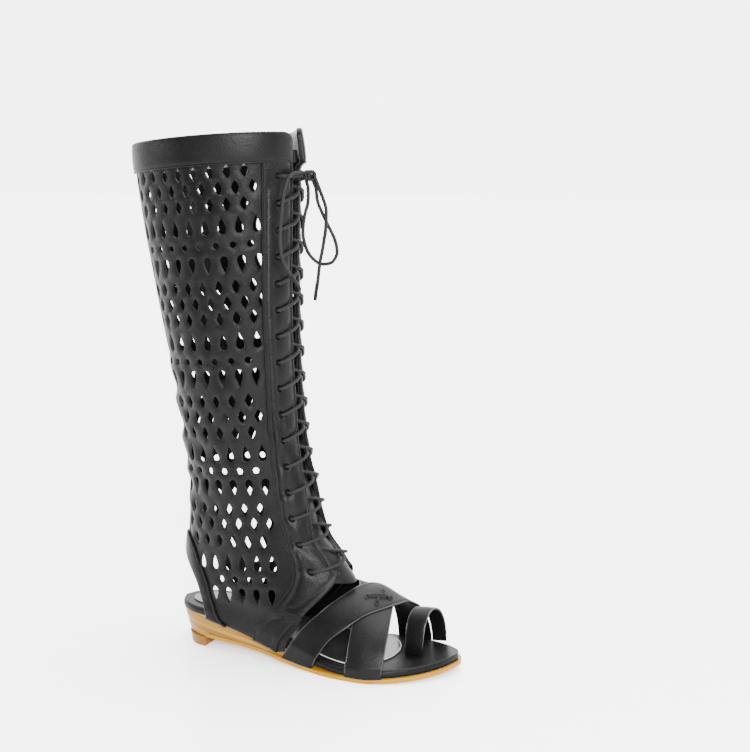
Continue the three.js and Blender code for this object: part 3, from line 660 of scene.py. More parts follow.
def ring_point(x, turn, grow):
    """Point of the toe ring, which stands on the footbed: a half circle with its height
    made rounder by the power of 0.75."""
    x, turn, grow = np.broadcast_arrays(*(np.asarray(v, float) for v in (x, turn, grow)))
    angle = np.pi * turn
    bow = np.maximum(np.sin(angle), 0) ** 0.75
    y = BALL_WIDTH * TOE_RING_PLACE - (TOE_RING_BORE / 2 + grow) * np.cos(angle)
    return np.stack([x, y, footbed_top(x) + GAP + (TOE_RING_RISE + grow) * bow], -1)


# Meshes


def metres(path):
    """Points in metres from the middle of the heel lift."""
    return (np.asarray(path) - ORIGIN) * MM


class Parts:
    """Collects pieces of one mesh: points, triangles or quads, material numbers and a map."""

    def __init__(self):
        self.points, self.faces, self.slots, self.maps, self.count = [], [], [], [], 0

    def add(self, points, faces, slot=0, pattern=None):
        points = np.asarray(points, float).reshape(-1, 3)
        self.points.append(points)
        self.faces.extend(tuple(int(i) + self.count for i in face) for face in faces)
        self.slots.extend(np.broadcast_to(slot, len(faces)))
        pattern = np.zeros((len(points), 2)) if pattern is None else np.asarray(pattern)
        self.maps.append(pattern.reshape(-1, 2))
        self.count += len(points)

    def build(self, name, looks, record_slot, replaced=(), sharp=40.0):
        """Makes the object with its materials, given by name, and rides it on the body."""
        mesh = bpy.data.meshes.new(name)
        mesh.from_pydata(metres(np.concatenate(self.points)).tolist(), [], self.faces)
        for look in looks:
            mesh.materials.append(finish(look))
        mesh.polygons.foreach_set("material_index", np.array(self.slots, np.int32))
        corners = np.empty(len(mesh.loops), np.int32)
        mesh.loops.foreach_get("vertex_index", corners)
        layer = mesh.uv_layers.new(name="Pattern")
        layer.data.foreach_set("uv", np.concatenate(self.maps)[corners].ravel())
        mesh.shade_smooth()
        mesh.set_sharp_from_angle(angle=math.radians(sharp))
        mesh.validate()
        piece = bpy.data.objects.new(name, mesh)
        bpy.context.scene.collection.objects.link(piece)
        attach(piece, "root")
        if replaced:
            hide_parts(*replaced)
        return piece


def grid_faces(rows, columns, closed=False):
    """Quads between the points of a grid, stored row by row. Closed rows are rings."""
    i, j = np.meshgrid(np.arange(rows - 1), np.arange(columns if closed else columns - 1),
                       indexing="ij")
    here, above = i * columns, (i + 1) * columns
    k = (j + 1) % columns
    return np.stack([here + j, here + k, above + k, above + j], -1).reshape(-1, 4)


def signed_volume(points, faces):
    """Six times the volume inside quads or triangles."""
    total = 0.0
    corners = points[np.asarray(faces)]
    for k in range(1, corners.shape[1] - 1):
        across = np.cross(corners[:, k], corners[:, k + 1])
        total += np.einsum("ij,ij->", corners[:, 0], across)
    return total


def add_loft(parts, rings, slot=0, pattern=None):
    """Closed skin over a row of closed rings, with a fan on each end."""
    rows, columns = rings.shape[:2]
    points = rings.reshape(-1, 3)
    faces = grid_faces(rows, columns, True)
    outward = signed_volume(points - points.mean(0), faces) > 0
    ends = [rings[0].mean(0), rings[-1].mean(0)]
    j = np.arange(columns)
    k = (j + 1) % columns
    last = (rows - 1) * columns
    head = np.stack([k, j, np.full(columns, rows * columns)], -1)
    tail = np.stack([last + j, last + k, np.full(columns, rows * columns + 1)], -1)
    if pattern is not None:
        pattern = pattern.reshape(-1, 2)
        pattern = np.concatenate([pattern, pattern[:1], pattern[-1:]])
    whole = [face[::1 if outward else -1] for face in (*faces, *head, *tail)]
    parts.add(np.concatenate([points, ends]), whole, slot, pattern)


def arc_lengths(line):
    """Length along a polyline at each of its points."""
    return np.concatenate([[0], np.cumsum(np.linalg.norm(np.diff(line, axis=0), axis=1))])


def at_lengths(line, lengths, wanted):
    """Points of a polyline at wanted lengths along it."""
    return np.stack([np.interp(wanted, lengths, column) for column in line.T], -1)


def unit(vectors):
    """Vectors divided by their lengths."""
    return vectors / np.maximum(1e-9, np.linalg.norm(vectors, axis=-1, keepdims=True))


def resample(points, spacing, closed=False):
    """Points at even steps along a polyline."""
    if closed:
        points = np.concatenate([points, points[:1]])
    lengths = arc_lengths(points)
    count = max(2, int(round(lengths[-1] / spacing)) + 1)
    out = at_lengths(points, lengths, np.linspace(0, lengths[-1], count))
    return out[:-1] if closed else out


def rounded_line(points, spacing):
    """Catmull-Rom curve through points, at even steps."""
    p = np.asarray(points, float)
    p = np.concatenate([[2 * p[0] - p[1]], p, [2 * p[-1] - p[-2]]])
    steps_between = 12
    u = np.linspace(0, 1, steps_between, endpoint=False)[:, None, None]
    a, b, c, d = p[:-3], p[1:-2], p[2:-1], p[3:]
    curve = 0.5 * (2 * b + (c - a) * u + (2 * a - 5 * b + 4 * c - d) * u ** 2
                   + (3 * b - a - 3 * c + d) * u ** 3)
    curve = np.concatenate([curve.transpose(1, 0, 2).reshape(-1, p.shape[1]), p[-2:-1]])
    return resample(curve, spacing)


def add_tube(parts, path, radius, sides=8, slot=0, taper=1.0):
    """Tube along a path: a circle carried square to it, turned as little as possible."""
    tangent = unit(np.gradient(path, axis=0))
    askew = [0.31, 0.52, 0.79]
    side = np.cross(tangent[0], askew)
    frames = []
    for direction in tangent:
        side = unit(side - direction * side.dot(direction))
        frames.append(side)
    across, up = np.array(frames), np.cross(tangent, frames)
    angle = np.linspace(0, 2 * np.pi, sides, endpoint=False)
    circle = np.cos(angle)[:, None] * across[:, None] + np.sin(angle)[:, None] * up[:, None]
    size = radius * np.broadcast_to(taper, len(path))
    rings = path[:, None] + size[:, None, None] * circle
    pattern = np.broadcast_arrays(angle / (2 * np.pi), arc_lengths(path)[:, None])
    add_loft(parts, rings, slot, np.stack(pattern, -1))


def add_stitches(parts, path, normals, pitch=3.2, length=2.2, radius=0.32, slot=0):
    """Row of stitches: each is a small spindle of eight faces lying along the path."""
    lengths = arc_lengths(path)
    at = np.arange(pitch, lengths[-1] - pitch / 2, pitch)
    start, end = (at_lengths(path, lengths, at + by) for by in (-length / 2, length / 2))
    normal = unit(at_lengths(normals, lengths, at))
    middle = (start + end) / 2 + normal * radius
    side = unit(np.cross(end - start, normal))
    points = np.stack([start, middle + side * radius, middle + normal * radius,
                       middle - side * radius, middle - normal * radius, end], 1)
    shape = np.array([(0, 2, 1), (0, 3, 2), (0, 4, 3), (0, 1, 4),
                      (5, 1, 2), (5, 2, 3), (5, 3, 4), (5, 4, 1)])
    faces = (shape[None] + 6 * np.arange(len(at))[:, None, None]).reshape(-1, 3)
    parts.add(points, faces, slot)


# Points worked on at once, to keep the tables of distances small
BLOCK = 1000


def inside(points, outline):
    """Which points lie inside a closed outline, by counting the edges crossed."""
    a, b = outline, np.roll(outline, -1, axis=0)
    result = np.zeros(len(points), bool)
    for start in range(0, len(points), BLOCK):
        x, y = points[start:start + BLOCK, 0:1], points[start:start + BLOCK, 1:2]
        crosses = (a[:, 1] > y) != (b[:, 1] > y)
        rise_by = np.where(b[:, 1] == a[:, 1], 1, b[:, 1] - a[:, 1])
        at = a[:, 0] + (y - a[:, 1]) / rise_by * (b[:, 0] - a[:, 0])
        result[start:start + BLOCK] = (crosses & (x < at)).sum(1) % 2 == 1
    return result


def nearest(points, others):
    """Distance from each point to the nearest of the others."""
    result = np.empty(len(points))
    for start in range(0, len(points), BLOCK):
        block = points[start:start + BLOCK]
        gap = ((block[:, None] - others[None]) ** 2).sum(-1).min(1)
        result[start:start + BLOCK] = np.sqrt(gap)
    return result


def left_shift(ahead, distance):
    """Shift by a distance to the left of directions on the flat leather."""
    ahead = unit(ahead)
    return distance * np.stack([-ahead[:, 1], ahead[:, 0]], -1)


def inset_ring(loop, distance):
    """Loop moved to its left by a distance."""
    return loop + left_shift(np.roll(loop, -1, axis=0) - np.roll(loop, 1, axis=0), distance)


def loop_area(loop):
    """Area of a loop by the sum of its corners' cross products, positive anticlockwise."""
    ahead = np.roll(loop, -1, axis=0)
    return 0.5 * float((loop[:, 0] * ahead[:, 1] - ahead[:, 0] * loop[:, 1]).sum())


def fill_outline(outline, holes, spacing, insets, creases):
    """Triangles inside an outline and round its holes.

    Rings of points follow every edge at the inset distances, and the outline also at the
    creases' distances. A staggered grid fills the rest, its rows 0.87 spacings apart for even
    triangles. Returns the flat points, the triangles, and each point's distance from the
    edge: 0 on it, the inset on a ring, and the last inset elsewhere.
    """
    loops = [outline if loop_area(outline) > 0 else outline[::-1]]
    loops += [hole[::-1] if loop_area(hole) > 0 else hole for hole in holes]
    edge = np.concatenate(loops)
    owner = np.concatenate([np.full(len(loop), k) for k, loop in enumerate(loops)])
    links, done = [], 0
    for loop in loops:
        links += [(done + i, done + (i + 1) % len(loop)) for i in range(len(loop))]
        done += len(loop)
    points, depth = [edge], [np.zeros(len(edge))]

    def add_ring(ring, clear, reach):
        """Keeps the points of a ring that are inside and clear of every edge."""
        ring = ring[inside(ring, loops[0]) & (nearest(ring, edge) > clear)]
        points.append(ring)
        depth.append(np.full(len(ring), reach))

    for distance in insets:
        rings = [inset_ring(loop, distance) for loop in loops]
        add_ring(np.concatenate(rings), 0.8 * distance, distance)
    for distance in creases:
        ring = resample(inset_ring(loops[0], distance), 2.0, True)
        add_ring(ring, 0.9 * distance, insets[-1])
    low, high = outline.min(0), outline.max(0)
    u, v = np.meshgrid(np.arange(low[0], high[0], spacing),
                       np.arange(low[1], high[1], spacing * 0.87))
    u = u + np.where(np.arange(len(v)) % 2, spacing / 2, 0)[:, None]
    grid = np.stack([u.ravel(), v.ravel()], -1)
    grid = grid[inside(grid, loops[0])]
    grid = grid[nearest(grid, np.concatenate(points)) > 0.45 * spacing]
    widest_hole = 12
    for loop in loops[1:]:
        near = np.abs(grid - loop.mean(0)).max(1) < widest_hole
        near[near] = inside(grid[near], loop)
        grid = grid[~near]
    flat = np.concatenate([*points, grid])
    depth = np.concatenate([*depth, np.full(len(grid), insets[-1])])
    made = delaunay_2d_cdt([Vector(p) for p in flat.tolist()], links, [], 0, 1e-5)
    place, faces = np.array([v[:] for v in made[0]]), np.array([face[:] for face in made[2]])
    source = np.array([origins[0] if origins else -1 for origins in made[3]])
    known = source >= 0
    reach = np.where(known, depth[source], 0)
    on_edge = known & (source < len(edge))
    member = np.where(on_edge, owner[np.where(on_edge, source, 0)], -1)
    in_hole = (member[faces] == member[faces][:, :1]).all(1) & (member[faces][:, 0] > 0)
    faces = faces[~in_hole]
    return place, faces[inside(place[faces].mean(1), loops[0])], reach


def add_wall(parts, outer, inner, faces, pattern):
    """Wall between an outer and an inner skin of the same triangles, closed at every edge.
    The two skins and the edge have a material each."""
    count = len(outer)
    edges = np.concatenate([faces[:, [0, 1]], faces[:, [1, 2]], faces[:, [2, 0]]])
    code = edges[:, 0] * count + edges[:, 1]
    back = edges[:, 1] * count + edges[:, 0]
    rim = edges[~np.isin(code, back)]
    sides = np.stack([rim[:, 1], rim[:, 0], rim[:, 0] + count, rim[:, 1] + count], -1)
    whole = [*faces, *(faces[:, ::-1] + count), *sides]
    slots = np.repeat([0, 1, 2], [len(faces), len(faces), len(sides)])
    parts.add(np.concatenate([outer, inner]), whole, slots, np.concatenate([pattern, pattern]))


def on_shaft(flat, grow, up=0.0):
    """Points of the shaft at places on the flat leather."""
    return shaft_point(flat[:, 0] / FLAT, flat[:, 1] + up, grow)


def add_leather(parts, outline, holes, grow, thickness, spacing, insets, rounding,
                relief=None, creases=()):
    """Piece of leather on the shaft, from its flat outline.

    The outer face stands off by grow and the relief, and dips at its edges by the rounding,
    with the square of the distance still to go to the last inset. The inner face lies a
    thickness behind.
    """
    flat, faces, reach = fill_outline(outline, holes, spacing, insets, creases)
    raised = relief(flat) if relief else 0.0
    dip = rounding * (1 - reach / insets[-1]) ** 2
    outer = on_shaft(flat, grow + raised - dip)
    corners = outer[faces]
    area = np.cross(corners[:, 1] - corners[:, 0], corners[:, 2] - corners[:, 0])
    outward = (outer - on_shaft(flat, grow - 20.0))[faces].mean(1)
    if (area * outward).sum() < 0:
        faces = faces[:, ::-1]
    add_wall(parts, outer, on_shaft(flat, grow - thickness), faces, flat)


# Outlines on the flat leather


def side_line(rows, side):
    """Edge seen from the side, as a smooth line on the flat leather."""
    line = [(row["at"] * FOOT_LENGTH, level_z(row["level"])) for row in rows]
    line = rounded_line(line, 2.0)
    return np.stack([side * FLAT * shaft_angle(line[:, 0], line[:, 1]), line[:, 1]], -1)


def throat_line(side, low, high):
    """Edge of a stay beside the throat, from low to high."""
    z = np.linspace(low, high, max(3, int((high - low) / 2.5)))
    return np.stack([side * FLAT * throat_angle(z, throat_half(z) * THROAT_GAP), z], -1)


def wall_front(side):
    """Front edge of the wall, which shows as a dark lip before the stay near the footbed."""
    line = side_line(FRONT_EDGE, side)[1:]
    lip = 2.8
    past = lip * smoothstep(50, 25, line[:, 1])
    return line + np.stack([side * past, 0 * past], -1)


def rim_line(start, end, drop=0.0):
    """Rim, or a line a drop below it, between two angles."""
    angle = np.linspace(start, end, 120)
    z = np.full(len(angle), SHAFT_HEIGHT)
    for _ in range(4):
        z = rim_height(shaft_point(np.clip(angle, -3.1, 3.1), z, 0)[:, 0]) - drop
    return np.stack([FLAT * angle, z], -1)


def band_corner(side, low):
    """Front edge of the band, from low to the rounded corner and back along the rim."""
    top = SHAFT_HEIGHT - 0.2
    drops, halves = np.array([6, 4.5, 3, 1.8, 0.9, 0.3, 0]), [5, 5.4, 6.3, 7.5, 9, 10.8, 13]
    z = np.concatenate([np.linspace(low, top - drops[0], 8), top - drops[1:]])
    half = np.interp(z, top - drops, halves)
    return np.stack([side * FLAT * throat_angle(z, half), z], -1)


def millimetres_per_radian(angle, z):
    """Length of the shaft's wall for one radian at a place."""
    step = 0.01
    ahead = shaft_point(angle + step, z, 0)
    return np.linalg.norm(ahead - shaft_point(angle - step, z, 0), axis=-1) / (2 * step)


def hole_outline(kind, width, length):
    """Outline of a punched hole, x forwards and y up.

    A diamond has four corners with slightly bowed sides. A drop is the curve
    (sin t sin(t/2)^1.5, cos t), with its tip up. A fallen drop has its tip down.
    """
    if kind == "diamond":
        t = np.arange(8) * np.pi / 4
        bow = np.where(np.arange(8) % 2, 0.8, 1.0)
        return np.stack([width / 2 * np.sin(t), length / 2 * np.cos(t)], -1) * bow[:, None]
    if kind == "round":
        t = np.arange(12) * np.pi / 6
        return np.stack([width / 2 * np.sin(t), width / 2 * np.cos(t)], -1)
    t = np.arange(14) * 2 * np.pi / 14
    x = np.sin(t) * np.abs(np.sin(t / 2)) ** 1.5
    shape = np.stack([x / np.abs(x).max() * width / 2, length / 2 * np.cos(t)], -1)
    return shape if kind == "drop" else shape * [1, -1]


def laid_hole(outline, side, angle, x, height):
    """A hole's outline leant with its row and laid at its place on the flat leather. On the
    shaft's flanks its width is measured along x."""
    scale = float(millimetres_per_radian(side * angle, height))
    lean = math.atan(ROW_TILT * math.sin(angle))
    forward = outline[:, 0] * math.cos(lean) - outline[:, 1] * math.sin(lean)
    up = outline[:, 0] * math.sin(lean) + outline[:, 1] * math.cos(lean)
    turned = angle + forward / scale
    flank_back, flank_front = 0.7, 2.4
    if flank_back < angle < flank_front:
        depth = FOOT_LENGTH * float(shaft_front(height) - shaft_back(height))
        slide = forward * math.sin(angle) * depth / (2 * scale)
        turned = shaft_angle(x + slide, height + up) - float(shaft_angle(x, height)) + angle
    return np.stack([side * FLAT * turned, height + up], -1)


def punched_holes(sizes):
    """All holes of the shaft on the flat leather: rows fall towards the back, and columns
    step back from the foremost one along the wall to the back and the heel strip."""
    strip = [(level_z(row["level"]), row["at"] * FOOT_LENGTH) for row in STRIP_FRONT[::-1]]
    strip_z, strip_x = np.array(strip).T
    seam = smooth(with_heights(SEAM), "at", "z")
    drop = (sizes.diamond_width, sizes.drop_length)
    shapes = {"diamond": (sizes.diamond_width, sizes.diamond_length),
              "round": (sizes.round_hole, sizes.round_hole), "drop": drop, "fallen drop": drop}
    under_stay, behind_strip, over_strip = 3.5, 5, 4
    holes = []
    for level, kind, shifted, forward_by in HOLE_ROWS:
        outline = hole_outline(kind, *(size / MM for size in shapes[kind]))
        for side in (-1, 1):
            turn = np.linspace(0, np.pi * 0.97, 500)
            z = level + ROW_TILT * (shaft_point(side * turn, level, 0)[:, 0] - ROW_START)
            line = shaft_point(side * turn, z, 0)
            along = arc_lengths(line)
            first = np.interp(FOOT_LENGTH * float(hole_column(level)), line[:, 0], along)
            at = first + forward_by - HOLE_PITCH * (np.arange(24) + shifted / 2)
            for place in at[at > HOLE_PITCH * 0.3]:
                angle, x, height = (float(np.interp(place, along, values))
                                    for values in (turn, line[:, 0], z))
                past_seam = x > FOOT_LENGTH * float(seam(height)) + under_stay
                behind = np.interp(height, strip_z, strip_x) + behind_strip
                in_strip = height < strip_z.max() + over_strip and x < behind
                if not (past_seam or in_strip):
                    holes.append(laid_hole(outline, side, angle, x, height))
    return holes


def eyelet_places():
    """Height and angle without sign of each eyelet, from the top row down."""
    top, bottom = EYELETS[-1]["z"], EYELETS[0]["z"]
    z = np.linspace(top, bottom, LACE_ROWS)
    return z, throat_angle(z, CALF_WIDTH * eyelet_half(z))


def eyelet_holes(side, radius):
    """Eyelets of one side on the flat leather."""
    z, angle = eyelet_places()
    t = np.arange(10) * 2 * np.pi / 10
    scale = millimetres_per_radian(side * angle, z)
    return [np.stack([side * FLAT * a + FLAT * radius * np.cos(t) / s, h + radius * np.sin(t)], -1)
            for h, a, s in zip(z, angle, scale)]


# Materials


def new_group(name, inputs, outputs):
    """Empty shader group with named sockets."""
    group = bpy.data.node_groups.new(name, "ShaderNodeTree")
    for label, kind, value in inputs:
        socket = group.interface.new_socket(name=label, in_out="INPUT", socket_type=kind)
        socket.default_value = value
    for label, kind in outputs:
        group.interface.new_socket(name=label, in_out="OUTPUT", socket_type=kind)
    return group, group.nodes.new("NodeGroupInput"), group.nodes.new("NodeGroupOutput")


def add_node(tree, kind, inputs, **settings):
    """Shader node with its settings, and its sockets set to values or linked from sockets."""
    made = tree.nodes.new("ShaderNode" + kind)
    for name, value in settings.items():
        setattr(made, name, value)
    set_sockets(tree, made, inputs)
    return made


def set_sockets(tree, node, inputs):
    """Sets a node's sockets to values, or links them from other sockets."""
    for socket, value in inputs.items():
        if isinstance(value, bpy.types.NodeSocket):
            tree.links.new(value, node.inputs[socket])
        else:
            node.inputs[socket].default_value = value


def object_place(tree):
    return add_node(tree, "TexCoord", {}).outputs["Object"]


def axes(tree, vector):
    """The sockets X, Y and Z of a vector."""
    return add_node(tree, "SeparateXYZ", {"Vector": vector}).outputs


def noise(tree, vector, scale, detail=2.0, distortion=0.0):
    inputs = {"Vector": vector, "Scale": scale, "Detail": detail, "Distortion": distortion}
    return add_node(tree, "TexNoise", inputs).outputs["Fac"]


def maths(tree, operation, *values):
    return add_node(tree, "Math", dict(enumerate(values)), operation=operation).outputs["Value"]


def ranged(tree, value, low, high, to_low=0.0, to_high=1.0, kind="LINEAR"):
    """Value mapped from the span low to high onto another one."""
    inputs = {"Value": value, "From Min": low, "From Max": high, "To Min": to_low, "To Max": to_high}
    return add_node(tree, "MapRange", inputs, interpolation_type=kind).outputs["Result"]


def mixed(tree, factor, a, b, blend="MIX"):
    """Colour between a and b."""
    inputs = {"Factor": factor, "A": a, "B": b}
    return add_node(tree, "Mix", inputs, data_type="RGBA", blend_type=blend).outputs["Result"]


def leather_grain_group():
    """Leather grain: small cells raised where they meet, pores, creases and slow changes of
    tone and gloss."""
    inputs = [("Tone", "NodeSocketColor", (0.02, 0.02, 0.02, 1)),
              ("Light tone", "NodeSocketColor", (0.05, 0.05, 0.05, 1)),
              ("Cells per metre", "NodeSocketFloat", 700.0),
              ("Creases", "NodeSocketFloat", 1.1),
              ("Gloss from", "NodeSocketFloat", 0.34),
              ("Gloss to", "NodeSocketFloat", 0.5)]
    outputs = [("Color", "NodeSocketColor"), ("Roughness", "NodeSocketFloat"),
               ("Height", "NodeSocketFloat")]
    group, source, sink = new_group("leather_grain", inputs, outputs)
    given, place = source.outputs, object_place(group)
    cells = add_node(group, "TexVoronoi", {
        "Vector": place, "Scale": given["Cells per metre"], "Smoothness": 0.4}, feature="SMOOTH_F1")
    slow = noise(group, place, 28.0, 4.0)
    pores = maths(group, "MULTIPLY_ADD", noise(group, place, 1900.0, 3.0), 0.2,
                  cells.outputs["Distance"])
    creases = noise(group, place, 210.0, 2.0, 0.6)
    set_sockets(group, sink, {
        "Color": mixed(group, ranged(group, slow, 0.35, 0.75), given["Tone"], given["Light tone"]),
        "Roughness": ranged(group, slow, 0, 1, given["Gloss from"], given["Gloss to"]),
        "Height": maths(group, "MULTIPLY_ADD", creases, given["Creases"], pores)})
    return group


def cord_weave_group():
    """Braid of a round cord: slanted ridges both ways round it, from the map's turn and
    length in millimetres. The crests take the light tone and the grooves the dark one, as
    painted shade."""
    inputs = [("Tone", "NodeSocketColor", (0.02, 0.02, 0.02, 1)),
              ("Light tone", "NodeSocketColor", (0.06, 0.06, 0.06, 1)),
              ("Ridges", "NodeSocketFloat", 3.0)]
    outputs = [("Color", "NodeSocketColor"), ("Height", "NodeSocketFloat")]
    group, source, sink = new_group("cord_weave", inputs, outputs)
    given = source.outputs
    pattern = axes(group, add_node(group, "UVMap", {}, uv_map="Pattern").outputs["UV"])
    strands_round = 4
    waves = []
    for lean in (1, -1):
        turn = maths(group, "MULTIPLY", pattern["X"], lean * strands_round * 2 * math.pi)
        slide = maths(group, "MULTIPLY_ADD", pattern["Y"], given["Ridges"], turn)
        waves.append(maths(group, "SINE", slide))
    crests_and_shade = ranged(group, maths(group, "MAXIMUM", *waves), -0.6, 1)
    colour = mixed(group, crests_and_shade, given["Tone"], given["Light tone"])
    set_sockets(group, sink, {"Color": colour, "Height": crests_and_shade})
    return group


def new_material(name, roughness, specular):
    """Material and its tree and Principled shader."""
    material = bpy.data.materials.new(name)
    material.use_nodes = True
    tree = material.node_tree
    shader = tree.nodes["Principled BSDF"]
    set_sockets(tree, shader, {"Roughness": roughness, "Specular IOR Level": specular})
    return material, tree, shader


def finish_material(tree, shader, colour, height, distance, **sockets):
    """Colour, bump and other sockets of a Principled shader."""
    bump = add_node(tree, "Bump", {"Distance": distance, "Strength": 1.0, "Height": height})
    named = {name.replace("_", " ").title(): value for name, value in sockets.items()}
    set_sockets(tree, shader, {"Base Color": colour, "Normal": bump.outputs["Normal"], **named})


def leather_material(name, tone, light, cells, gloss, depth, coat=0.0, specular=0.1):
    """Leather from the shared grain group, with its own tones, cell size and gloss."""
    material, tree, shader = new_material(name, gloss[0], specular)
    grain = add_node(tree, "Group", {}, node_tree=bpy.data.node_groups.get("leather_grain")
                     or leather_grain_group())
    set_sockets(tree, grain, {"Tone": (*tone, 1), "Light tone": (*light, 1),
                              "Cells per metre": cells, "Gloss from": gloss[0], "Gloss to": gloss[1]})
    out = grain.outputs
    finish_material(tree, shader, out["Color"], out["Height"], depth, roughness=out["Roughness"],
                    coat_weight=coat, coat_roughness=0.3)
    return material


def cord_material(name, tone, light):
    """Braided cord, matt."""
    material, tree, shader = new_material(name, 0.6, 0.12)
    weave = add_node(tree, "Group", {}, node_tree=bpy.data.node_groups.get("cord_weave")
                     or cord_weave_group())
    set_sockets(tree, weave, {"Tone": (*tone, 1), "Light tone": (*light, 1)})
    finish_material(tree, shader, weave.outputs["Color"], weave.outputs["Height"], 0.00005)
    return material


def wood_material(name, tone, line, layered):
    """Stacked wood look: pale lines in a darker tone, from noise that is stretched along the
    shoe and tilted with the wedge, under finer streaks. Layered wood has closer lines."""
    material, tree, shader = new_material(name, 0.38, 0.12)
    place = axes(tree, object_place(tree))
    squeeze = 0.03
    stretched = add_node(tree, "CombineXYZ", {
        "X": maths(tree, "MULTIPLY", place["X"], squeeze),
        "Y": maths(tree, "MULTIPLY", place["Y"], squeeze),
        "Z": maths(tree, "MULTIPLY_ADD", place["X"], 0.15, place["Z"])}).outputs["Vector"]
    streaks = noise(tree, stretched, 1500.0, 3.0)
    ramp = add_node(tree, "ValToRGB", {"Fac": noise(tree, stretched, 420.0 if layered else 90.0)})
    for stop, at, colour in zip(ramp.color_ramp.elements, (0.38, 0.6), (tone, line)):
        stop.position = at
        stop.color = (*colour, 1)
    shade = mixed(tree, 0.45 if layered else 0.2, ramp.outputs["Color"],
                  ranged(tree, streaks, 0, 1, 0.5, 1.3), "MULTIPLY")
    finish_material(tree, shader, shade, streaks, 0.00015, coat_weight=0.06, coat_roughness=0.2)
    return material


def outsole_material(name, tone, dark):
    """Smooth tan sheet with soft clouds of a darker tone."""
    material, tree, shader = new_material(name, 0.36, 0.2)
    place = object_place(tree)
    clouds = ranged(tree, noise(tree, place, 60.0, 5.0), 0.3, 0.55)
    colour = mixed(tree, clouds, (*dark, 1), (*tone, 1))
    finish_material(tree, shader, colour, noise(tree, place, 900.0), 0.0001)
    return material


# Leathers: colour, shares of it for the dark and the light tone, cells per metre, gloss from
# and to, depth of the grain in metres, and coat and specular level where they differ
LEATHERS = {
    "grained_shaft": ("leather", 1, 2.1, 760.0, (0.38, 0.5), 0.00012),
    "grained_trim": ("leather", 1, 2.1, 860.0, (0.36, 0.47), 0.00012),
    "grained_footbed": ("leather", 1, 2.1, 950.0, (0.36, 0.48), 0.00006, 0, 0.09),
    "rolled_edge": ("leather", 1, 2.1, 900.0, (0.3, 0.4), 0.00003, 0, 0.4),
    # Cut edges paler than the face: partly the raw cut's own colour, partly a painted highlight
    # standing for rounded rims
    "cut_edge": ("leather", 3.5, 4.9, 1500.0, (0.4, 0.6), 0.00003),
    "thread": ("leather", 2.1, 2.1, 2500.0, (0.4, 0.5), 0.00005),
    "lining": ("lining", 1, 1.3, 500.0, (0.22, 0.4), 0.00003),
    "band_lining": ("band_lining", 1, 1.4, 260.0, (0.2, 0.34), 0.0001, 0.2, 0.3),
    "insole_sheet": ("insole", 1, 1.5, 300.0, (0.2, 0.3), 0.00002, 0.05, 0.3),
    # Pale edge of the sheet: a painted highlight
    "insole_edge": ("insole_edge", 1, 1.33, 900.0, (0.3, 0.4), 0.00005),
}


def finish(name):
    """Material by name, made on first use from the scene's colours."""
    if name in bpy.data.materials:
        return bpy.data.materials[name]
    colours = bpy.context.scene.sandal_colours

    def tone(of, share=1.0):
        return tuple(min(1, share * value) for value in getattr(colours, of))

    if name in LEATHERS:
        of, dark, light, *rest = LEATHERS[name]
        return leather_material(name, tone(of, dark), tone(of, light), *rest)
    if name == "lace_cord":
        # Lace: the braid's grooves painted darker than its crests, as painted shade
        return cord_material(name, tone("leather", 2.2), tone("leather", 4.5))
    if name == "wedge_wood":
        return wood_material(name, tone("wood"), tone("wood_line"), True)
    if name == "heel_wood":
        return wood_material(name, tone("wood"), tone("wood", 1.1), False)
    return outsole_material(name, tone("outsole"), tone("outsole", 0.85))


# Settings


def length(name, description, default, low, high):
    return FloatProperty(name=name, description=description, default=default, min=low, max=high,
                         unit="LENGTH")


class SandalSizes(bpy.types.PropertyGroup):
    """Sizes that a user would change."""

    lace: length("Lace", "Diameter of the lace", 0.0028, 0.001, 0.005)
    wall: length("Leather", "Thickness of the shaft's leather", WALL * MM, 0.001, 0.003)
    overlay: length("Overlay", "Thickness of band, stays and strip", OVERLAY * MM, 0.0005, 0.0025)
    eyelet: length("Eyelet", "Diameter of the punched eyelets", 0.0042, 0.002, 0.008)
    diamond_width: length("Hole width", "Width of diamonds and drops", 0.0066, 0.002, 0.01)
    diamond_length: length("Diamond length", "Height of a diamond", 0.0115, 0.004, 0.013)
    drop_length: length("Drop length", "Height of a drop", 0.0142, 0.004, 0.016)
    round_hole: length("Round hole", "Diameter of a round hole", 0.0056, 0.002, 0.01)


def colour(name, description, default):
    return FloatVectorProperty(name=name, description=description, default=default,
                               subtype="COLOR", size=3, min=0, max=1)


class SandalColours(bpy.types.PropertyGroup):
    """Colours that a user would change."""

    leather: colour("Leather", "Black of the leather", (0.0021, 0.0021, 0.0022))
    lining: colour("Lining", "Inside of the shaft", (0.003, 0.003, 0.0032))
    band_lining: colour("Band lining", "Shiny lining at the rim", (0.1, 0.1, 0.104))
    insole: colour("Insole", "Shiny sheet on the footbed", (0.012, 0.012, 0.0125))
    # Pale edge of the sheet: a painted highlight along its rim
    insole_edge: colour("Insole edge", "Pale edge of that sheet", (0.3, 0.3, 0.31))
    wood: colour("Wood", "Layers of the wedge", (0.15, 0.064, 0.009))
    wood_line: colour("Wood line", "Pale lines between the layers", (0.28, 0.16, 0.018))
    outsole: colour("Outsole", "Tan sheet under the sandal", (0.25, 0.12, 0.005))
    floor: colour("Floor", "Pale floor", (0.93, 0.93, 0.93))


# Pieces


def studio_world():
    """White behind and above the shoe, dark on the camera's side, by direction alone."""
    world = bpy.data.worlds.new("studio")
    world.use_nodes = True
    tree = world.node_tree
    sky = axes(tree, add_node(tree, "TexCoord", {}).outputs["Generated"])
    behind = maths(tree, "MULTIPLY_ADD", sky["Z"], 0.4, sky["Y"])
    strength = ranged(tree, behind, -0.3, 0.4, 0.13, 5.6, "SMOOTHSTEP")
    set_sockets(tree, tree.nodes["Background"], {"Color": (1, 1, 1, 1), "Strength": strength})
    return world


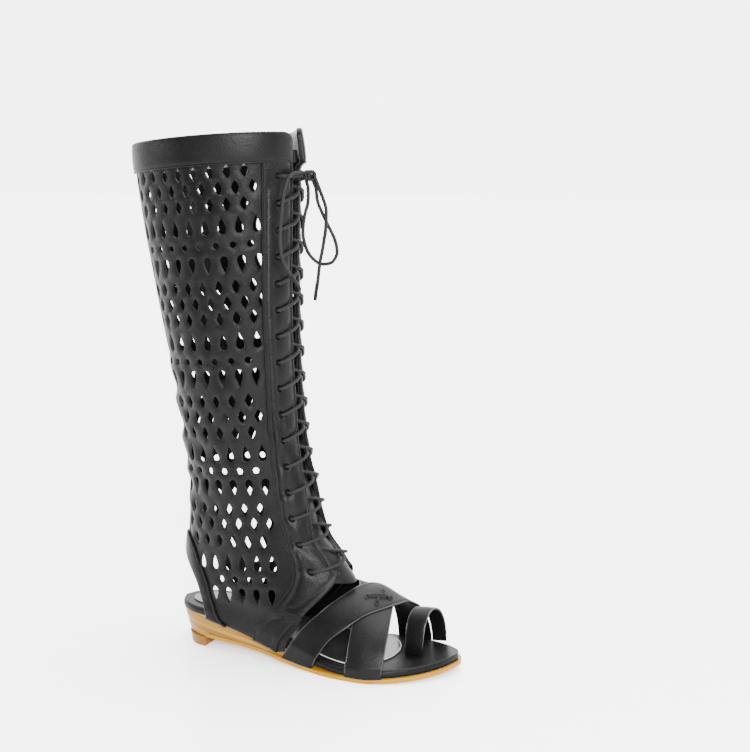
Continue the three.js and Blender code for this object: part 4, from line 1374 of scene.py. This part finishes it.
def floor_material(pale):
    """Pale floor, painted dark on the camera's side as painted shade, and with a painted glow
    that grows stronger far away, where it meets the white backdrop."""
    material, tree, shader = new_material("pale_floor", 0.22, 0.3)
    place = object_place(tree)
    lit = ranged(tree, axes(tree, place)["Y"], -1.6, -0.5, kind="SMOOTHSTEP")
    away = add_node(tree, "VectorMath", {0: place}, operation="LENGTH").outputs["Value"]
    # Painted glow: emission of 0.6 near the shoe and 1.45 far away, none on the camera's side
    glow = maths(tree, "MULTIPLY", ranged(tree, away, 0.3, 2.0, 0.6, 1.45), lit)
    # Painted shade: near-black base colour on the camera's side, pale elsewhere
    colour = mixed(tree, lit, (0.04, 0.04, 0.04, 1), (*pale, 1))
    set_sockets(tree, shader, {"Base Color": colour, "Emission Color": (1, 1, 1, 1),
                               "Emission Strength": glow})
    return material


class SANDAL_OT_stage(bpy.types.Operator):
    """Camera at the photograph's angle, pale floor and soft studio light"""

    bl_idname = "sandal.stage"
    bl_label = "Stage"

    def execute(self, context):
        camera = bpy.data.objects.new("camera", bpy.data.cameras.new("camera"))
        camera.data.sensor_fit = "VERTICAL"
        camera.data.sensor_height = SENSOR
        camera.data.lens = SENSOR * PHOTO_LENS / PHOTO_HEIGHT
        camera.location = CAMERA_PLACE
        camera.rotation_euler = Vector(CAMERA_SIGHT).to_track_quat("-Z", "Y").to_euler()
        context.scene.collection.objects.link(camera)
        context.scene.camera = camera

        wide, low = 12.0, -0.00005
        mesh = bpy.data.meshes.new("floor")
        mesh.from_pydata([(-wide, -wide, low), (wide, -wide, low), (wide, wide, low),
                          (-wide, wide, low)], [], [(0, 1, 2, 3)])
        mesh.materials.append(floor_material(context.scene.sandal_colours.floor))
        plane = bpy.data.objects.new("floor", mesh)
        context.scene.collection.objects.link(plane)

        context.scene.world = studio_world()
        target = Vector((0.06, 0, 0.2))
        lamps = (("key_light", (0.9, -1.5, 0.95), 0.8, 105.0),
                 ("side_light", (-1.5, -0.9, 0.6), 0.35, 12.0),
                 ("top_light", (0.2, 0.6, 3.0), 2.5, 110.0))
        for name, place, size, power in lamps:
            light = bpy.data.lights.new(name, "AREA")
            light.shape = "DISK"
            light.size = size
            light.energy = power
            lamp = bpy.data.objects.new(name, light)
            lamp.location = place
            lamp.rotation_euler = (target - Vector(place)).to_track_quat("-Z", "Y").to_euler()
            context.scene.collection.objects.link(lamp)
        return {"FINISHED"}


def cord_path(route, spacing=0.8):
    """Smooth line through a route in metres, as millimetres in the shoe's frame."""
    return rounded_line(np.array(route) / MM + ORIGIN, spacing)


class SANDAL_OT_bow(bpy.types.Operator):
    """Bow at the top of the lace: a knot, one loop and two ends with stiff tips"""

    bl_idname = "sandal.bow"
    bl_label = "Bow"

    def execute(self, context):
        lace = context.scene.sandal_sizes.lace
        radius = lace / MM / 2
        loop_path, *end_paths = (cord_path(route) for route in
                                 (FRONT_LOOP_ROUTE, FRONT_END_ROUTE, SIDE_END_ROUTE))
        loop = Parts()
        add_tube(loop, loop_path, radius, sides=12)
        piece = loop.build("bow_loop", ["lace_cord"], "lace", ["lace_front_loop"])
        sleeve = np.interp(np.arange(18), [0, 1, 16, 17], [0.98, 1.05, 1.0, 0.9])
        for name, path in zip(("front_end", "side_end"), end_paths):
            end, tip = Parts(), Parts()
            add_tube(end, path, radius, sides=12)
            add_tube(tip, path[-1 - len(sleeve):-1], radius * 1.08, sides=12, taper=sleeve)
            piece = end.build("bow_" + name, ["lace_cord"], "lace", ["lace_" + name])
            sealed = tip.build("bow_" + name + "_tip", ["grained_trim"], "lace")

        knot = Parts()
        centre = np.array(KNOT_CENTRE) / MM + ORIGIN
        turn = np.linspace(0, 2 * np.pi, 48, endpoint=False)
        cos, sin = np.cos(turn), np.sin(turn)
        for shift, size, lean in KNOT_RINGS:
            ring = centre + np.stack([shift + lean * 2.2 * cos, size * cos - 1, size * sin], -1)
            add_tube(knot, np.concatenate([ring, ring[:2]]), radius * 1.05, sides=12)
        core = centre + np.stack([np.linspace(-9, 4.5, 12), np.full(12, -1), np.zeros(12)], -1)
        add_tube(knot, core, radius * 1.5, sides=12, taper=np.sin(np.linspace(0.4, 2.7, 12)))
        u = np.linspace(-1, 1, 40)
        for lift_by, lean, front in KNOT_WRAPS:
            wrap = np.stack([8.0 * u - 2.5, front * np.cos(1.35 * u) - 1,
                             lift_by + lean * np.sin(2.2 * u)], -1)
            add_tube(knot, centre + wrap, radius * 1.02, sides=12)
        for path in (loop_path, loop_path[::-1], *end_paths):
            stub = [path[0], path[0] + 2.0 * unit(path[0] - path[1]), centre]
            add_tube(knot, rounded_line(stub, 0.8), radius, sides=12)
        knot.build("bow_knot", ["lace_cord"], "lace", ["lace_knot"])
        return {"FINISHED"}


class SANDAL_OT_lacing(bpy.types.Operator):
    """Lace through the eyelets: out of an eyelet, over its own stay, across the throat and
    under the other stay to the next eyelet up"""

    bl_idname = "sandal.lacing"
    bl_label = "Lacing"

    def execute(self, context):
        radius = context.scene.sandal_sizes.lace / MM / 2
        over = context.scene.sandal_sizes.overlay / MM
        parts = Parts()

        def run(turn, z, grow):
            """Length of lace over the shaft, by its turn from the front."""
            angle = np.where(turn < 0, -np.pi - turn, np.pi - turn)
            add_tube(parts, rounded_line(shaft_point(angle, z, grow), 1.0), radius)

        heights, turns = eyelet_places()
        for row in range(LACE_ROWS - 1, 0, -1):
            for side in (-1, 1):
                start, end = side * (np.pi - turns[row]), -side * (np.pi - turns[row - 1])
                climb = LACE_CLIMBS[side]
                # Out of the eyelet, over its own stay, across the throat, under the other stay
                # and into the next eyelet
                middle = (over if side > 0 else over + radius * 1.5) - radius * 0.4
                grow = np.array([
                    -WALL - 2.0, over * 0.5, over + radius * 1.05, over + radius * 1.3,
                    over + radius * 1.9, middle, -WALL - radius * 1.15, -WALL - radius * 1.25,
                    -WALL - 2.0])
                run(start + (end - start) * LACE_SHARES,
                    heights[row] + (heights[row - 1] - heights[row]) * climb, grow)
        for side in (-1, 1):
            grow = np.array([-WALL - 2.0, over + 1.2, over + 2.2, over + 3.2, over + 5.0, over + 7.5])
            run(np.linspace(side * (np.pi - turns[0]), side * 0.06, 6),
                heights[0] - np.array([0, 0, 0.3, 0.3, 0, 0]), grow)
        parts.build("lace_strands", ["lace_cord"], "lace", ["lace_crossings"])
        return {"FINISHED"}


class SANDAL_OT_shaft(bpy.types.Operator):
    """Perforated wall of the shaft and quarters, with every hole cut through"""

    bl_idname = "sandal.shaft"
    bl_label = "Shaft"

    def execute(self, context):
        sizes = context.scene.sandal_sizes
        top = throat_angle(SHAFT_HEIGHT, RIM_END)
        lateral, medial = (np.concatenate([
            side_line(STRIP_REAR, side),
            side_line(LOWER_EDGE, side)[1:],
            wall_front(side),
            throat_line(side, THROAT_FOOT, SHAFT_HEIGHT - 12),
            band_corner(side, SHAFT_HEIGHT - 10)[:-1],
        ]) for side in (-1, 1))
        outline = np.concatenate([lateral, rim_line(-top, top) - [0, 0.4], medial[::-1]])
        radius = sizes.eyelet / MM / 2
        holes = punched_holes(sizes) + eyelet_holes(-1, radius) + eyelet_holes(1, radius)
        parts = Parts()
        add_leather(parts, outline, holes, grow=0.0, thickness=sizes.wall / MM, spacing=5.0,
                    insets=(0.55,), rounding=0.35)
        parts.build("shaft", ["grained_shaft", "lining", "cut_edge"], "shaft_leather",
                    ["upper"], sharp=50)
        return {"FINISHED"}


def overlay_grow(context):
    """How far the outer face of band, stays and strip lies outside the wall's."""
    return context.scene.sandal_sizes.overlay / MM + GAP


class SANDAL_OT_band(bpy.types.Operator):
    """Plain band round the rim, folded over it, with a corded lower edge"""

    bl_idname = "sandal.band"
    bl_label = "Band"

    def execute(self, context):
        over = overlay_grow(context)
        low_front = SHAFT_HEIGHT - BAND_HEIGHT
        top, bottom = throat_angle(SHAFT_HEIGHT, RIM_END), throat_angle(low_front, 5.0)
        upper_line, lower_line = rim_line(-top, top), rim_line(-bottom, bottom, BAND_HEIGHT)
        outline = np.concatenate([
            band_corner(-1, low_front + 1),
            upper_line[1:-1],
            band_corner(1, low_front + 1)[::-1],
            lower_line[::-1],
        ])
        near_corner = smoothstep(2.45, 2.9, outline[:, 0] / FLAT)
        high = smoothstep(low_front + 4, SHAFT_HEIGHT - 2, outline[:, 1])
        outline[:, 1] += CORNER_RAISE * near_corner * high

        def puffed(flat):
            """Slightly fuller between the rim and the lower edge."""
            rim = np.interp(flat[:, 0], upper_line[:, 0], upper_line[:, 1])
            share = np.clip((rim - flat[:, 1]) / BAND_HEIGHT, 0, 1)
            return 0.7 * np.sin(np.pi * share) ** 0.7

        parts = Parts()
        add_leather(parts, outline, [], grow=over, thickness=over + WALL + 0.6, spacing=4.0,
                    insets=(0.5, 1.3), rounding=0.9, relief=puffed)
        add_tube(parts, resample(on_shaft(lower_line, over - 0.2, 0.2), 2.0), 0.8)
        normal = on_shaft(lower_line, over + 1) - on_shaft(lower_line, over)
        add_stitches(parts, on_shaft(lower_line, over + 0.15, 3.2), normal, slot=3)
        parts.build("band", ["grained_trim", "band_lining", "grained_trim", "thread"],
                    "trim_leather", ["top_band"], sharp=60)
        return {"FINISHED"}


def stay_outline(side):
    """Flat outline of a stay, its seam, and its front edge with the throat's."""

    def corner(at, z):
        return [[side * FLAT * float(shaft_angle(at * FOOT_LENGTH, z)), z]]

    seam_rows = [row for row in SEAM if 0.4 < row["level"] < 1.93]
    top_z = SHAFT_HEIGHT - BAND_HEIGHT + 2.5
    seam = np.concatenate([corner(0.347, level_z(0.47)), side_line(seam_rows, side),
                           corner(0.3875, top_z - 1)])
    front = np.concatenate([side_line(FRONT_EDGE, side), throat_line(side, THROAT_FOOT, top_z)])
    lower = side_line(LOWER_EDGE[2:], side)[1:-1]
    return np.concatenate([seam, front[::-1], lower[::-1]]), seam, front


class SANDAL_OT_stays(bpy.types.Operator):
    """The two stays beside the throat, with eyelets, corded seam and turned front edge"""

    bl_idname = "sandal.stays"
    bl_label = "Stays"

    def execute(self, context):
        over = overlay_grow(context)
        hole_radius = context.scene.sandal_sizes.eyelet / MM / 2
        heights, turns = eyelet_places()
        crease_at = 3.3
        for side, name in ((-1, "lateral"), (1, "medial")):
            outline, seam, front = stay_outline(side)
            eyelets = np.stack([side * FLAT * turns, heights], -1)

            def shaped(flat):
                """Corded edges with a crease behind them, a soft roll beside the seam, a
                valley, and leather that puffs up between the eyelets."""
                z = flat[:, 1]
                from_seam = nearest(flat, resample(seam, 1.0))
                from_front = nearest(flat, resample(front, 1.0))
                keep = smoothstep(seam[0, 1] + 2, seam[0, 1] + 16, z)
                upright = smoothstep(60, 110, z)
                roll = keep * (0.3 + 0.7 * upright) * bell(from_seam, 7.5, 3.2)
                valley = 0.8 * upright * bell(from_front, 20.5, 1.8)
                zone = smoothstep(20, 17, from_front) * smoothstep(4, 7, from_front)
                from_row = np.abs(z[:, None] - heights).min(1)
                puff = 0.8 * zone * smoothstep(2, 10, from_row)
                puff = puff * smoothstep(heights[-1] - 12, heights[-1], z)
                sunk = 0.6 * bell(nearest(flat, eyelets), 0, 3.4)
                tucked = 0.9 * smoothstep(404.5, 406.5, z)
                crease = np.maximum(keep * bell(from_seam, crease_at, 0.5),
                                    bell(from_front, crease_at, 0.5))
                cord = np.maximum(keep * smoothstep(3.0, 2.2, from_seam),
                                  smoothstep(3.0, 2.2, from_front))
                return roll - valley + puff - sunk - 0.7 * crease + 0.4 * cord - tucked

            parts = Parts()
            add_leather(parts, outline, eyelet_holes(side, hole_radius), grow=over,
                        thickness=over - 0.05, spacing=2.8, insets=(0.5, 1.2), rounding=0.8,
                        relief=shaped, creases=(2.6, crease_at, 4.0))
            add_tube(parts, on_shaft(resample(seam, 2.0), over * 0.55), 1.0)
            for edge in (seam, front):
                line = inset_open(resample(edge, 2.0), crease_at, outline)
                row = on_shaft(line, over - 0.6)
                add_stitches(parts, row, row - on_shaft(line, over - 3), slot=3)
            parts.build("stay_" + name, ["grained_trim", "lining", "grained_trim", "thread"],
                        "trim_leather", ["eyestay_" + name], sharp=60)
        return {"FINISHED"}


def inset_open(line, distance, outline):
    """Open line moved by a distance to the side that lies inside an outline."""
    shift = left_shift(np.gradient(line, axis=0), distance)
    hits = inside(line + shift, outline).sum() - inside(line - shift, outline).sum()
    return line + (shift if hits > 0 else -shift)


class SANDAL_OT_strip(bpy.types.Operator):
    """Strip that binds the heel opening and runs round behind the heel"""

    bl_idname = "sandal.strip"
    bl_label = "Heel strip"

    def execute(self, context):
        over = overlay_grow(context)
        upper_edge, lower_edge = (
            np.concatenate([side_line(rows, -1)[::-1], side_line(rows, 1)])
            for rows in (STRIP_FRONT, STRIP_REAR))
        outline = np.concatenate([upper_edge, lower_edge[::-1]])

        def crowned(flat):
            return 0.5 * smoothstep(0, 5, nearest(flat, outline))

        parts = Parts()
        add_leather(parts, outline, [], grow=over, thickness=over - 0.05, spacing=3.0,
                    insets=(0.5, 1.2), rounding=0.8, relief=crowned)
        for line, grow in ((upper_edge, over * 0.6), (lower_edge, -WALL * 0.4)):
            add_tube(parts, on_shaft(resample(line, 2.0), grow), 1.0)
        parts.build("strip", ["grained_trim", "lining", "grained_trim"], "trim_leather",
                    ["heel_strip"], sharp=60)
        return {"FINISHED"}


class SANDAL_OT_tongue(bpy.types.Operator):
    """Long tongue behind the throat, with its lip over the instep"""

    bl_idname = "sandal.tongue"
    bl_label = "Tongue"

    def execute(self, context):
        half = TONGUE_WIDTH / 2
        low, high = level_z(TONGUE_FOOT_LEVEL), SHAFT_HEIGHT - TONGUE_DROP
        across, up = np.meshgrid(np.linspace(-1, 1, 25), np.linspace(0, 1, 150))
        edge = smoothstep(1.0, 0.93, np.abs(across)) * smoothstep(0, 0.008, up)
        z = low + 3.5 * across ** 2 * (1 - smoothstep(0, 0.15, up)) + (high - low) * up
        angle = throat_angle(z, half * np.abs(across)) * np.where(across < 0, -1, 1)
        ripple = 0.5 * np.sin(z / 9.0 + 2 * across) * smoothstep(90, 140, z)
        deep = -WALL - GAP - 2.9 * smoothstep(80, 105, z) + ripple
        thickness = 1.4
        outer = shaft_point(angle, z, deep - 0.5 * (1 - edge)).reshape(-1, 3)
        inner = shaft_point(angle, z, deep - thickness + 0.3 * (1 - edge)).reshape(-1, 3)
        faces = grid_faces(*z.shape)
        triangles = np.concatenate([faces[:, [0, 1, 2]], faces[:, [0, 2, 3]]])
        parts = Parts()
        pattern = np.stack([half * across, z], -1).reshape(-1, 2)
        add_wall(parts, outer, inner, triangles, pattern)
        parts.build("tongue_sheet", ["grained_shaft", "lining", "cut_edge"], "shaft_leather",
                    ["tongue"], sharp=60)
        return {"FINISHED"}


def add_strap(parts, rows, surface, stitch=3.0):
    """Strap carried over the foot from edge to edge: a flat section with rounded edges and a
    soft crown, a row of stitches along each edge, and the rolled edges."""
    rear, front = smooth(rows, "rear", "turn"), smooth(rows, "front", "turn")
    raise_by = smooth(rows, "lift", "turn") if "lift" in rows[0] else np.zeros_like
    turn = np.linspace(0, 1, 90)
    turn = turn - 0.09 * np.sin(2 * np.pi * turn)
    back, ahead = FOOT_LENGTH * rear(turn), FOOT_LENGTH * front(turn)
    low = GAP + raise_by(turn) * (STRAP_THICKNESS - GAP / 2)
    corner = 0.7
    flat, bend = np.linspace(0, 1, 13), np.linspace(-np.pi / 2, np.pi / 2, 5)[1:-1]
    none, side = 0 * flat, 0 * bend
    share = np.concatenate([flat, 1 + side, flat[::-1], side])
    out = corner * np.concatenate([none, np.cos(bend), none, -np.cos(bend)])
    level = np.concatenate([1 + none, 0.5 - 0.5 * np.sin(bend), none, 0.5 + 0.5 * np.sin(bend)])
    crown = np.concatenate([0.45 * np.sin(np.pi * flat) ** 0.6, side, none, side])
    x = back[:, None] + corner + share * ((ahead - back)[:, None] - 2 * corner) + out
    grow = low[:, None] + level * STRAP_THICKNESS + crown
    pattern = np.stack(np.broadcast_arrays(share * 30.0, turn[:, None] * 150.0), -1)
    add_loft(parts, surface(x, turn[:, None], grow), 0, pattern)
    middle = (turn > 0.03) & (turn < 0.97)
    for x in (back + stitch, ahead - stitch):
        place = surface(x, turn, low + STRAP_THICKNESS + 0.22)[middle]
        normal = place - surface(x, turn, low - 3)[middle]
        add_stitches(parts, place, normal, pitch=2.8, length=1.9, radius=0.26, slot=1)
    for x in (back + 0.5, ahead - 0.5):
        add_tube(parts, surface(x, turn, low + STRAP_THICKNESS - 0.3)[middle], 0.55, slot=2)


class SANDAL_OT_straps(bpy.types.Operator):
    """Two crossed straps over the forefoot, the toe ring, and the small cross of cord"""

    bl_idname = "sandal.straps"
    bl_label = "Straps"

    def execute(self, context):
        looks = ["grained_trim", "thread", "rolled_edge"]
        parts, ring, cross = Parts(), Parts(), Parts()
        add_strap(parts, UPPER_STRAP, arch_point)
        add_strap(parts, LOWER_STRAP, arch_point)
        parts.build("straps", looks, "trim_leather", ["cross_straps"], sharp=60)
        add_strap(ring, TOE_RING, ring_point, 2.2)
        ring.build("toe_loop", looks, "trim_leather", ["toe_ring"], sharp=60)

        top = GAP + STRAP_THICKNESS * 2 + 0.5
        for start, end, over in CROSS_CORDS:
            t = np.linspace(0, 1, 9)
            x, turn = (a + (b - a) * t for a, b in zip(start, end))
            x = FOOT_LENGTH * x
            height = top + 0.9 + over * np.sin(np.pi * t) - 2.0 * (np.abs(2 * t - 1) > 0.95)
            add_tube(cross, rounded_line(arch_point(x, turn, height), 0.6), 0.9)
            angle = np.linspace(0, 2 * np.pi, 20, endpoint=False)
            hole, arch_length = 1.6, 130
            for k in (0, -1):
                rim = arch_point(x[k] + hole * np.cos(angle),
                                 turn[k] + hole * np.sin(angle) / arch_length, top + 0.05)
                add_tube(cross, np.concatenate([rim, rim[:2]]), 0.4, sides=6)
        cross.build("sewn_cross", ["lace_cord"], "lace", ["cross_stitch"])
        return {"FINISHED"}


def add_layer(parts, start, end, grow, bottom, top, rake=0.0, round_low=0.4, round_top=0.4,
              front=None):
    """Layer of the sole: a section with rounded corners carried along the foot's plan.

    The half widths come from the grown plan, the heights from two functions of x, and the
    lower edge may lean in under the heel by the rake.
    """
    spread = grow if callable(grow) else (lambda x: np.full_like(x, grow))
    base, tip = spread(np.array([0.0, FOOT_LENGTH]))
    share = share_at(np.linspace(0.03, np.pi - 0.03, 170))
    x = -base + share * (FOOT_LENGTH + base + tip)
    first, last = max(start, x[0]), min(end, x[-1])
    x = np.concatenate([[first], x[(x > first + 0.4) & (x < last - 0.4)], [last]])
    by = spread(x)
    angle = angle_at((x + by) / (FOOT_LENGTH + 2 * by))
    narrow = front(x) if front else 1.0
    left = foot_width(angle, False, by) * narrow
    right = -foot_width(angle, True, by) * narrow
    z0, z1 = bottom(x), top(x)
    half = np.minimum((left - right) / 4, (z1 - z0) / 2.2)
    low, high = np.minimum(round_low, half)[:, None], np.minimum(round_top, half)[:, None]
    left, right, z0, z1 = left[:, None], right[:, None], z0[:, None], z1[:, None]
    bend, across = np.linspace(0, np.pi / 2, 6), np.linspace(-1, 1, 13)
    sin, cos, level = np.sin(bend), np.cos(bend), 0 * across

    def between(a, b):
        return a + (b - a) * (across + 1) / 2

    y = np.concatenate([
        between(right + low, left - low), left - low + low * sin, left - high + high * cos,
        between(left - high, right + high), right + high - high * sin,
        right + low - low * cos], 1)
    z = np.concatenate([
        z0 + level, z0 + low - low * cos, z1 - high + high * sin,
        z1 + level, z1 - high + high * cos, z0 + low - low * sin], 1)
    reach = FOOT_LENGTH * 0.25
    lean = rake * np.clip(1 - (x - first) / (reach - first), 0, 1)[:, None]
    depth = (z1 - z) / np.maximum(0.1, z1 - z0)
    along = x[:, None] + 0 * y
    rings = np.stack([along + lean * depth, y, z], -1)
    add_loft(parts, rings, pattern=np.stack([y, along], -1))


class SANDAL_OT_sole(bpy.types.Operator):
    """Outsole, wedge and heel lift"""

    bl_idname = "sandal.sole"
    bl_label = "Sole"

    def execute(self, context):
        outsole, wedge, block = Parts(), Parts(), Parts()
        add_layer(outsole, HEEL_LIFT_FRONT + GAP, FOOT_LENGTH,
                  lambda x: (smoothstep(0.38, 0.46, x / FOOT_LENGTH) - 1) * FOOTBED_INSET,
                  floor_line, outsole_top, round_low=0.7, round_top=0.5)
        outsole.build("outsole_layer", ["outsole_sheet"], "outsole", ["outsole"], sharp=50)

        def wedge_bottom(x):
            ahead = np.minimum(HEEL_LIFT_HEIGHT + OUTSOLE_THICKNESS, outsole_top(x) + 0.1)
            return np.where(x < HEEL_LIFT_FRONT, HEEL_LIFT_HEIGHT, ahead)

        add_layer(wedge, 0, FOOT_LENGTH * WEDGE_END, -FOOTBED_INSET - GAP, wedge_bottom,
                  lambda x: footbed_top(x) - FOOTBED_THICKNESS - 0.05, rake=HEEL_RAKE)
        wedge.build("wedge_layers", ["wedge_wood"], "stacked_wood", ["wedge"], sharp=50)

        angle = np.linspace(np.pi / 2, 1.5 * np.pi, 41)
        length, half = HEEL_LIFT_FRONT - HEEL_LIFT_BACK + 1.5, HEEL_LIFT_WIDTH / 2 + 0.7
        rings = []
        for level, less in HEEL_LIFT_RINGS:
            lean = 0.17 * (HEEL_LIFT_HEIGHT - GAP - level)
            arc = np.stack([HEEL_LIFT_FRONT - less + (length - less - lean) * np.cos(angle),
                            (half - less - 0.5 * lean) * np.sin(angle), level + 0 * angle], -1)
            rings.append(np.concatenate([arc, np.linspace(arc[-1], arc[0], 9)[1:-1]]))
        add_loft(block, np.array(rings))
        block.build("heel_block", ["heel_wood"], "stacked_wood", ["heel_lift"])
        return {"FINISHED"}


def insole_nose(x):
    """Share of the sheet's width that is left towards its rounded front end."""
    curve = FOOT_LENGTH * INSOLE_CURVE
    past = np.maximum(0, x - FOOT_LENGTH * INSOLE_END + curve) / curve
    return np.sqrt(np.maximum(0.004, 1 - past ** 2))


def insole_rim(by):
    """Closed line round the upper edge of the sheet on the footbed."""
    x = -by + share_at(np.linspace(0.05, np.pi, 120)) * (FOOT_LENGTH * INSOLE_END + by - 0.2)
    angle = angle_at((x + by) / (FOOT_LENGTH + 2 * by))
    z = footbed_top(x) + INSOLE_THICKNESS - 0.2
    left, right = (np.stack([x, sign * foot_width(angle, sign < 0, by) * insole_nose(x), z], -1)
                   for sign in (1, -1))
    return np.concatenate([left, right[::-1], left[:2]])


class SANDAL_OT_footbed(bpy.types.Operator):
    """Footbed wrapped in leather and the shiny sheet on it"""

    bl_idname = "sandal.footbed"
    bl_label = "Footbed"

    def execute(self, context):
        bed, sheet = Parts(), Parts()
        add_layer(bed, 0, FOOT_LENGTH, -FOOTBED_INSET + 0.2,
                  lambda x: footbed_top(x) - FOOTBED_THICKNESS, footbed_top,
                  round_low=1.2, round_top=2.4)
        bed.build("footbed_cover", ["grained_footbed"], "footbed_leather", ["footbed"], sharp=60)
        by = -FOOTBED_INSET - INSOLE_MARGIN
        add_layer(sheet, 0, FOOT_LENGTH * INSOLE_END, by, lambda x: footbed_top(x) - 0.1,
                  lambda x: footbed_top(x) + INSOLE_THICKNESS, front=insole_nose, round_top=0.5)
        rim = insole_rim(by)
        # Pale tube along the front half of the sheet's rim: painted highlight of its edge
        add_tube(sheet, rim[rim[:, 0] > FOOT_LENGTH * 0.5], 0.5, slot=1)
        sheet.build("sock_sheet", ["insole_sheet", "insole_edge"], "insole", ["insole_sock"],
                    sharp=50)
        return {"FINISHED"}


class SANDAL_PT_panel(bpy.types.Panel):
    """Lists the sandal's pieces, sizes and colours"""

    bl_label = "Gladiator sandal"
    bl_idname = "SANDAL_PT_panel"
    bl_space_type = "VIEW_3D"
    bl_region_type = "UI"
    bl_category = "Sandal"

    def draw(self, context):
        for operator in OPERATORS:
            self.layout.operator(operator.bl_idname)
        for settings in (context.scene.sandal_sizes, context.scene.sandal_colours):
            box = self.layout.box()
            for name in settings.bl_rna.properties.keys():
                if name not in ("rna_type", "name"):
                    box.prop(settings, name)


OPERATORS = (
    SANDAL_OT_stage,
    SANDAL_OT_bow,
    SANDAL_OT_lacing,
    SANDAL_OT_shaft,
    SANDAL_OT_band,
    SANDAL_OT_stays,
    SANDAL_OT_strip,
    SANDAL_OT_tongue,
    SANDAL_OT_straps,
    SANDAL_OT_sole,
    SANDAL_OT_footbed,
)
CLASSES = (SandalSizes, SandalColours, *OPERATORS, SANDAL_PT_panel)


def register():
    for item in CLASSES:
        bpy.utils.register_class(item)
    bpy.types.Scene.sandal_sizes = PointerProperty(type=SandalSizes)
    bpy.types.Scene.sandal_colours = PointerProperty(type=SandalColours)


def unregister():
    del bpy.types.Scene.sandal_colours
    del bpy.types.Scene.sandal_sizes
    for item in reversed(CLASSES):
        bpy.utils.unregister_class(item)


def main():
    """Makes every piece in order."""
    register()
    for operator in OPERATORS:
        group, name = operator.bl_idname.split(".")
        getattr(getattr(bpy.ops, group), name)()


if __name__ == "__main__":
    main()
